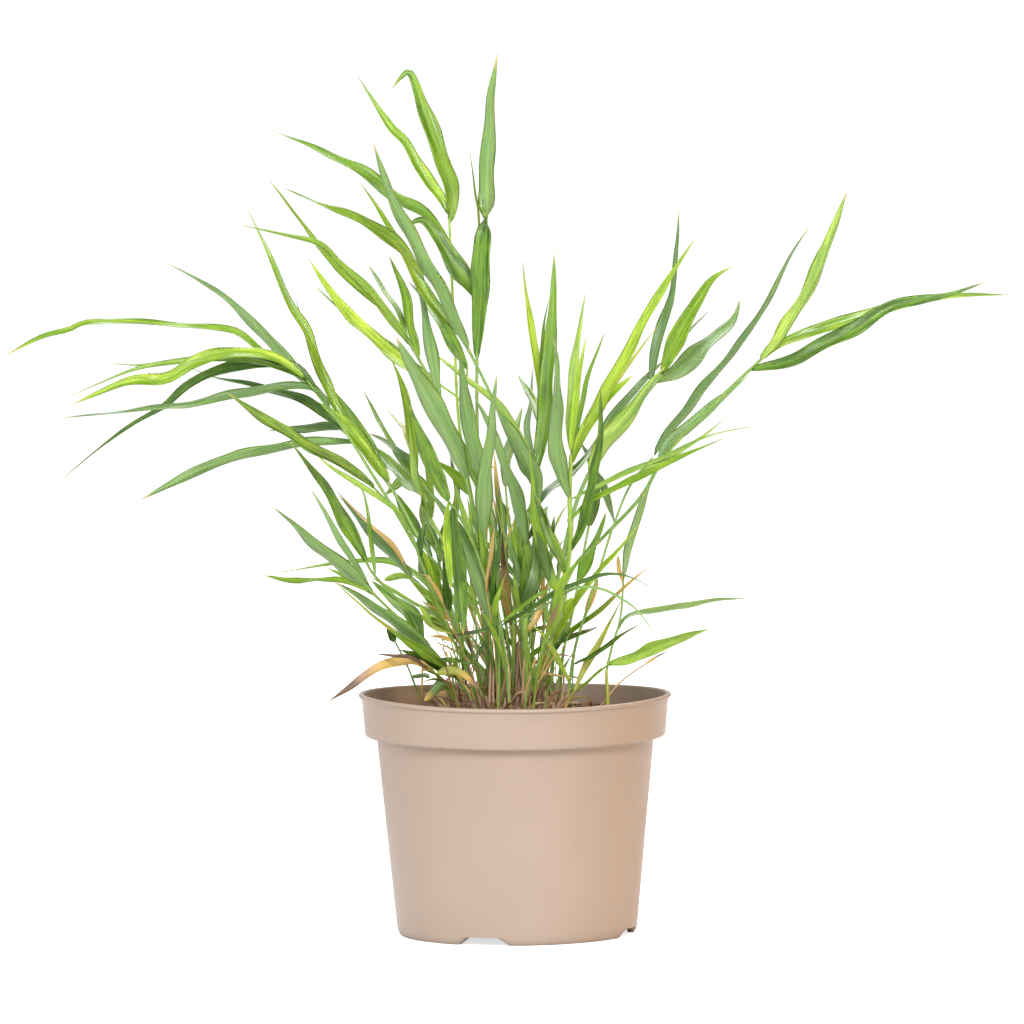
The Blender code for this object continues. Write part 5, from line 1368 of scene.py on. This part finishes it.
class Recipe:
    """Builds a node tree one node at a time, with links or plain values as inputs."""

    def __init__(self, tree):
        self.tree = tree

    def feed(self, sockets, values):
        """Gives each named socket its link or its plain value."""
        for key, value in values.items():
            if isinstance(value, bpy.types.NodeSocket):
                self.tree.links.new(value, sockets[key])
            else:
                sockets[key].default_value = value

    def node(self, kind, inputs=None, **settings):
        """A node with its settings and its inputs, by their names or numbers."""
        made = self.tree.nodes.new(kind)
        for key, value in settings.items():
            setattr(made, key, value)
        self.feed(made.inputs, inputs or {})
        return made

    def math(self, operation, first, second=0.0, clamp=False):
        made = self.node("ShaderNodeMath", {0: first, 1: second}, operation=operation,
                         use_clamp=clamp)
        return made.outputs[0]

    def plus(self, first, second, clamp=False):
        return self.math("ADD", first, second, clamp)

    def times(self, first, second):
        return self.math("MULTIPLY", first, second)

    def span(self, value, low, high, start=0.0, finish=1.0):
        """A value spread from low..high to start..finish, held at the ends."""
        made = self.node("ShaderNodeMapRange", {0: value, 1: low, 2: high, 3: start, 4: finish},
                         interpolation_type="SMOOTHSTEP")
        return made.outputs[0]

    def mixed(self, share, first, second, blend="MIX"):
        """The first colour with a share of the second over it."""
        made = self.node("ShaderNodeMix", {0: share, 6: first, 7: second}, data_type="RGBA",
                         blend_type=blend)
        return made.outputs[2]

    def tinted(self, share, base, factor):
        """A share of the base with each of its colours multiplied by a factor."""
        return self.mixed(share, base, self.mixed(1.0, base, factor, "MULTIPLY"))

    def split(self, vector):
        return self.node("ShaderNodeSeparateXYZ", {0: vector}).outputs

    def joined(self, *parts):
        return self.node("ShaderNodeCombineXYZ", dict(enumerate(parts))).outputs[0]

    def lumps(self, vector, scale, detail=2.0, rough=0.5):
        """Noise of so many lumps to a unit of length."""
        made = self.node("ShaderNodeTexNoise", {"Vector": vector, "Scale": scale,
                                                "Detail": detail, "Roughness": rough})
        return made.outputs["Fac"]

    def bump(self, strength, distance, height):
        return self.node("ShaderNodeBump", {"Strength": strength, "Distance": distance,
                                            "Height": height}).outputs[0]

    def read(self, attribute, socket="Vector"):
        return self.node("ShaderNodeAttribute", attribute_name=attribute).outputs[socket]


def group(name, inputs, outputs):
    """An empty shader node group with named sockets, and its recipe, inputs and outputs."""
    tree = bpy.data.node_groups.new(name, "ShaderNodeTree")
    for label, kind, value in inputs:
        made = tree.interface.new_socket(label, in_out="INPUT", socket_type=kind)
        if value is not None:
            made.default_value = value
    for label, kind in outputs:
        tree.interface.new_socket(label, in_out="OUTPUT", socket_type=kind)
    recipe = Recipe(tree)
    start = recipe.node("NodeGroupInput")
    finish = recipe.node("NodeGroupOutput")
    return tree, recipe, start.outputs, finish.inputs


def vein_group():
    """Parallel veins, a midrib and blotches that follow a leaf."""
    tree, make, given, out = group(
        "leaf veins",
        [("Place", "NodeSocketVector", None), ("Chance", "NodeSocketFloat", 0.5),
         ("Spacing", "NodeSocketFloat", 0.9)],
        [("Veins", "NodeSocketFloat"), ("Midrib", "NodeSocketFloat"),
         ("Blotch", "NodeSocketFloat"), ("Fleck", "NodeSocketFloat"),
         ("Stripes", "NodeSocketFloat")])
    across, along, _ = make.split(given["Place"])
    shift = make.times(given["Chance"], 60.0)

    def drawn_out(across_scale, along_scale):
        return make.joined(make.times(across, across_scale), make.times(along, along_scale),
                           shift)

    fine = make.joined(make.math("DIVIDE", across, given["Spacing"]), make.times(along, 0.012),
                       shift)
    make.feed(out, {
        "Veins": make.span(make.lumps(fine, 1.9, 1.0), 0.36, 0.64),
        "Midrib": make.span(make.math("ABSOLUTE", across), 0.15, 0.55, 1.0, 0.0),
        "Blotch": make.lumps(drawn_out(0.35, 0.06), 1.0, 3.0, 0.6),
        "Fleck": make.span(make.lumps(drawn_out(0.9, 0.35), 1.0, 1.0, 0.6), 0.80, 0.86),
        "Stripes": make.span(make.lumps(drawn_out(0.34, 0.008), 1.6, 1.0), 0.38, 0.62),
    })
    return tree


def leaf_colour_group(veins):
    """The colour and gloss of a leaf or culm, from its tone, its veins and its age."""
    tree, make, given, out = group(
        "leaf colours",
        [("Place", "NodeSocketVector", None), ("Tone", "NodeSocketVector", None),
         ("Skin", "NodeSocketVector", None), ("Veining", "NodeSocketFloat", 0.5),
         ("Tip dryness", "NodeSocketFloat", 0.5), ("Tip start", "NodeSocketFloat", 0.9)],
        [("Color", "NodeSocketColor"), ("Light", "NodeSocketColor"),
         ("Roughness", "NodeSocketFloat"), ("Ridges", "NodeSocketFloat")])
    across, _, share = make.split(given["Place"])
    limeness, bloom, dryness = make.split(given["Tone"])
    _, chance, half_width = make.split(given["Skin"])
    marks = make.node("ShaderNodeGroup", {"Place": given["Place"], "Chance": chance},
                      node_tree=veins).outputs
    vein, midrib = marks["Veins"], marks["Midrib"]

    # Greens, with the bloom over them
    sway = make.plus(make.span(marks["Blotch"], 0.3, 0.7, -0.16, 0.16),
                     make.span(marks["Stripes"], 0.0, 1.0, -0.10, 0.10))
    lime = make.plus(limeness, sway, True)
    base = make.mixed(make.span(lime, 0.0, 0.45), DARK_GREEN, MID_GREEN)
    base = make.mixed(make.span(lime, 0.45, 1.1), base, LIME_GREEN)
    base = make.mixed(make.times(bloom, 0.8), base, BLOOM_GREEN)

    # Veins, midrib, lighter edges and painted light on one half of the leaf
    stripe = make.times(make.math("SUBTRACT", 1.0, vein), given["Veining"])
    base = make.tinted(stripe, base, VEIN_SHADE)
    base = make.mixed(make.times(midrib, 0.16), base, RIB_GREEN)
    # Lighter edges: partly a pale margin, partly a painted edge highlight
    margin = make.math("DIVIDE", make.math("ABSOLUTE", across),
                       make.math("MAXIMUM", half_width, 0.1))
    base = make.tinted(make.span(margin, 0.72, 1.0, 0.0, 0.30), base, PALE_MARGIN_AND_EDGE_HIGHLIGHT)
    # Painted light: one half of the leaf beside the fold of its midrib drawn lighter as if lit,
    # more on some leaves than others
    half = make.times(make.span(across, -0.3, 0.3), make.span(chance, 0.2, 0.9))
    base = make.tinted(make.times(half, 0.32), base, PAINTED_LIT_HALF)

    # Dry leaves, tips and flecks
    tip = make.times(make.span(share, given["Tip start"], 1.0), given["Tip dryness"])
    dry = make.plus(make.plus(dryness, tip), make.times(marks["Fleck"], 0.35), True)
    dead = make.mixed(make.span(dry, 0.62, 0.84), STRAW, BARK)
    dead = make.mixed(make.span(dry, 0.84, 1.0), dead, DEAD_BROWN)
    base = make.mixed(make.span(dry, 0.05, 0.6), base, dead)

    rough = make.plus(make.times(bloom, 0.16), make.times(dryness, 0.2))
    make.feed(out, {
        "Color": base,
        "Light": make.mixed(1.0, base, LIGHT_THROUGH, "MULTIPLY"),
        "Roughness": make.plus(rough, make.span(vein, 0.0, 1.0, 0.34, 0.25)),
        "Ridges": make.plus(make.times(vein, 0.6), midrib),
    })
    return tree


def dust_group():
    """Specks and soft patches of settled dust and fine scuffs."""
    tree, make, given, out = group(
        "dust and scuffs",
        [("Vector", "NodeSocketVector", None), ("Patch size", "NodeSocketFloat", 14.0),
         ("Speck size", "NodeSocketFloat", 900.0)],
        [("Patches", "NodeSocketFloat"), ("Specks", "NodeSocketFloat"),
         ("Grain", "NodeSocketFloat")])
    patches = make.lumps(given["Vector"], given["Patch size"], 4.0, 0.62)
    specks = make.lumps(given["Vector"], given["Speck size"], 1.0)
    make.feed(out, {
        "Patches": make.span(patches, 0.38, 0.72),
        "Specks": make.span(specks, 0.70, 0.76),
        "Grain": make.lumps(given["Vector"], 2600.0, 2.0),
    })
    return tree


def fresh_material(name):
    """A new material, the recipe of its nodes and its shader."""
    made = bpy.data.materials.new(name)
    made.use_nodes = True
    return made, Recipe(made.node_tree), made.node_tree.nodes["Principled BSDF"]


def leaf_material(colours, name, veining, tip_dryness, through, tip_start):
    """Living or dry leaf: a waxy skin over flesh that lets some light through."""
    made, make, surface = fresh_material(name)
    skin = make.node("ShaderNodeGroup", {
        "Place": make.read("leaf_place"), "Tone": make.read("leaf_tone"),
        "Skin": make.read("leaf_skin"), "Veining": veining, "Tip dryness": tip_dryness,
        "Tip start": tip_start}, node_tree=colours).outputs
    make.feed(surface.inputs, {
        "Base Color": skin["Color"], "Roughness": skin["Roughness"],
        "Specular IOR Level": 0.8, "Normal": make.bump(0.35, 0.00025, skin["Ridges"])})
    glow = make.node("ShaderNodeBsdfTranslucent", {"Color": skin["Light"]}).outputs[0]
    both = make.node("ShaderNodeMixShader", {0: through, 1: surface.outputs[0], 2: glow})
    make.feed(made.node_tree.nodes["Material Output"].inputs, {"Surface": both.outputs[0]})
    return made


def plastic_material(dust):
    """Moulded taupe polypropylene, satin, a little dusty, with painted warm shade on its right
    side, painted shade towards its collar and painted shade inside.
    """
    made, make, surface = fresh_material("taupe polypropylene")
    place = make.node("ShaderNodeTexCoord").outputs["Object"]
    rightward, _, height = make.split(place)
    marks = make.node("ShaderNodeGroup", {"Vector": place}, node_tree=dust).outputs
    # Painted shade: the pot a little darker from its foot up to its collar
    base = make.mixed(make.span(height, 0.0, 0.11), TAUPE_LOW, TAUPE_HIGH)
    base = make.mixed(make.times(marks["Patches"], 0.16), base, TAUPE_DUST)
    base = make.mixed(make.times(marks["Specks"], 0.28), base, TAUPE_SPECK)
    # Painted shade: the right side of the pot drawn darker and warmer, as if lit by a dim warm
    # light
    base = make.tinted(make.span(rightward, 0.010, 0.078), base, PAINTED_WARM_SHADE_RIGHT)
    # Painted shade inside the pot and, twice as strong, under its base plate
    inside = make.times(make.read("pot_painted_shade", "Fac"), 0.42)
    make.feed(surface.inputs, {
        "Base Color": make.mixed(inside, base, PAINTED_INSIDE_SHADE),
        "Roughness": make.span(marks["Patches"], 0.0, 1.0, 0.30, 0.42),
        "Specular IOR Level": 0.45, "Normal": make.bump(0.12, 0.0002, marks["Grain"])})
    return made


def soil_material(dust):
    """Damp dark peat with reddish bark."""
    made, make, surface = fresh_material("bark compost")
    place = make.node("ShaderNodeTexCoord").outputs["Object"]
    marks = make.node("ShaderNodeGroup", {"Vector": place, "Patch size": 90.0,
                                          "Speck size": 700.0}, node_tree=dust).outputs
    lightness, _, is_chip = make.split(make.read("leaf_tone"))
    peat = make.mixed(lightness, *PEAT_COLOURS)
    chips = make.mixed(lightness, *CHIP_COLOURS)
    base = make.mixed(is_chip, peat, chips)
    base = make.mixed(make.times(marks["Patches"], 0.35), base, SOIL_PATCH)
    base = make.mixed(make.times(marks["Specks"], 0.5), base, SOIL_SPECK)
    make.feed(surface.inputs, {"Base Color": base, "Roughness": 0.9,
                               "Normal": make.bump(0.6, 0.0006, marks["Patches"])})
    return made


def floor_material():
    """A matt pale floor that glows a little to the camera only."""
    made, make, surface = fresh_material("studio floor")
    shown = make.node("ShaderNodeLightPath").outputs["Is Camera Ray"]
    make.feed(surface.inputs, {
        "Base Color": FLOOR_GREY, "Roughness": 1.0, "Specular IOR Level": 0.0,
        "Emission Color": WHITE, "Emission Strength": make.times(shown, FLOOR_GLOW)})
    return made


def soft_light(name, place, aim, size, power, tint):
    """A square softbox at a place, facing a point; both in metres."""
    lamp = bpy.data.lights.new(name, "AREA")
    lamp.size = size
    lamp.energy = power
    lamp.color = tint
    made = placed(name, lamp)
    made.location = place
    made.rotation_euler = (Vector(aim) - Vector(place)).to_track_quat("-Z", "Y").to_euler()


def surround():
    """An even white surround, a little warm from the right in what it lights."""
    world = bpy.data.worlds.new("surround")
    world.use_nodes = True
    make = Recipe(world.node_tree)
    shown = make.node("ShaderNodeLightPath").outputs["Is Camera Ray"]
    way = make.node("ShaderNodeTexCoord").outputs["Generated"]
    warmth = make.times(make.span(make.split(way)[0], 0.05, 0.9),
                        make.math("SUBTRACT", 1.0, shown))
    make.feed(world.node_tree.nodes["Background"].inputs, {
        "Color": make.mixed(warmth, WHITE, WARM_SURROUND),
        "Strength": make.span(shown, 0.0, 1.0, SURROUND_LIGHT, SURROUND_SHOWN)})
    return world


def studio():
    """A pale floor, the surround, softboxes and the camera."""
    scene = bpy.context.scene
    shape = bmesh.new()
    bmesh.ops.create_circle(shape, cap_ends=True, segments=64, radius=FLOOR_RADIUS)
    floor = placed("floor", mesh_from("floor", shape, floor_material()))
    scene.world = surround()
    for name, place, aim_height, size, power, tint in LIGHTS:
        soft_light(name, place, (0, 0, aim_height), size, power, tint)
    lens = bpy.data.cameras.new("camera")
    lens.lens = LENS
    lens.sensor_width = SENSOR_WIDTH
    lens.clip_end = CAMERA_FAR_METRES
    camera = placed("camera", lens)
    place = Vector((0, -EYE_DISTANCE, EYE_HEIGHT)) * MM
    aim = Vector((AIM[0], 0, AIM[1])) * MM
    look = (aim - place).to_track_quat("-Z", "Y").to_matrix()
    roll = Matrix.Rotation(math.radians(CAMERA_ROLL), 3, "Z")
    camera.matrix_world = Matrix.Translation(place) @ (look @ roll).to_4x4()
    scene.camera = camera
    scene.view_settings.view_transform = "Standard"


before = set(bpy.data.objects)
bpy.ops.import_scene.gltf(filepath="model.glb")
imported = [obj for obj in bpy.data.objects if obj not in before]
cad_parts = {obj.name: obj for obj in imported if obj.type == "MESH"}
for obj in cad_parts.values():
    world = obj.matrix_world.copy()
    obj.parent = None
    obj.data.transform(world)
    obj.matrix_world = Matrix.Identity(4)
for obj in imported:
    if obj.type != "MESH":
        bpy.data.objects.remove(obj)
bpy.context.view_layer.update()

leaf_colours = leaf_colour_group(vein_group())
dust_marks = dust_group()
leaf_materials = {tone: leaf_material(leaf_colours, *look) for tone, look in LEAF_LOOKS.items()}
turn_pot(plastic_material(dust_marks))
fill_soil(soil_material(dust_marks))
mat_crown(leaf_material(leaf_colours, *STUBBLE_LOOK))
for shoot_number, shoot_row in enumerate(SHOOTS, start=1):
    grow_shoot(shoot_number, shoot_row, leaf_materials[shoot_row["tone"]])
studio()
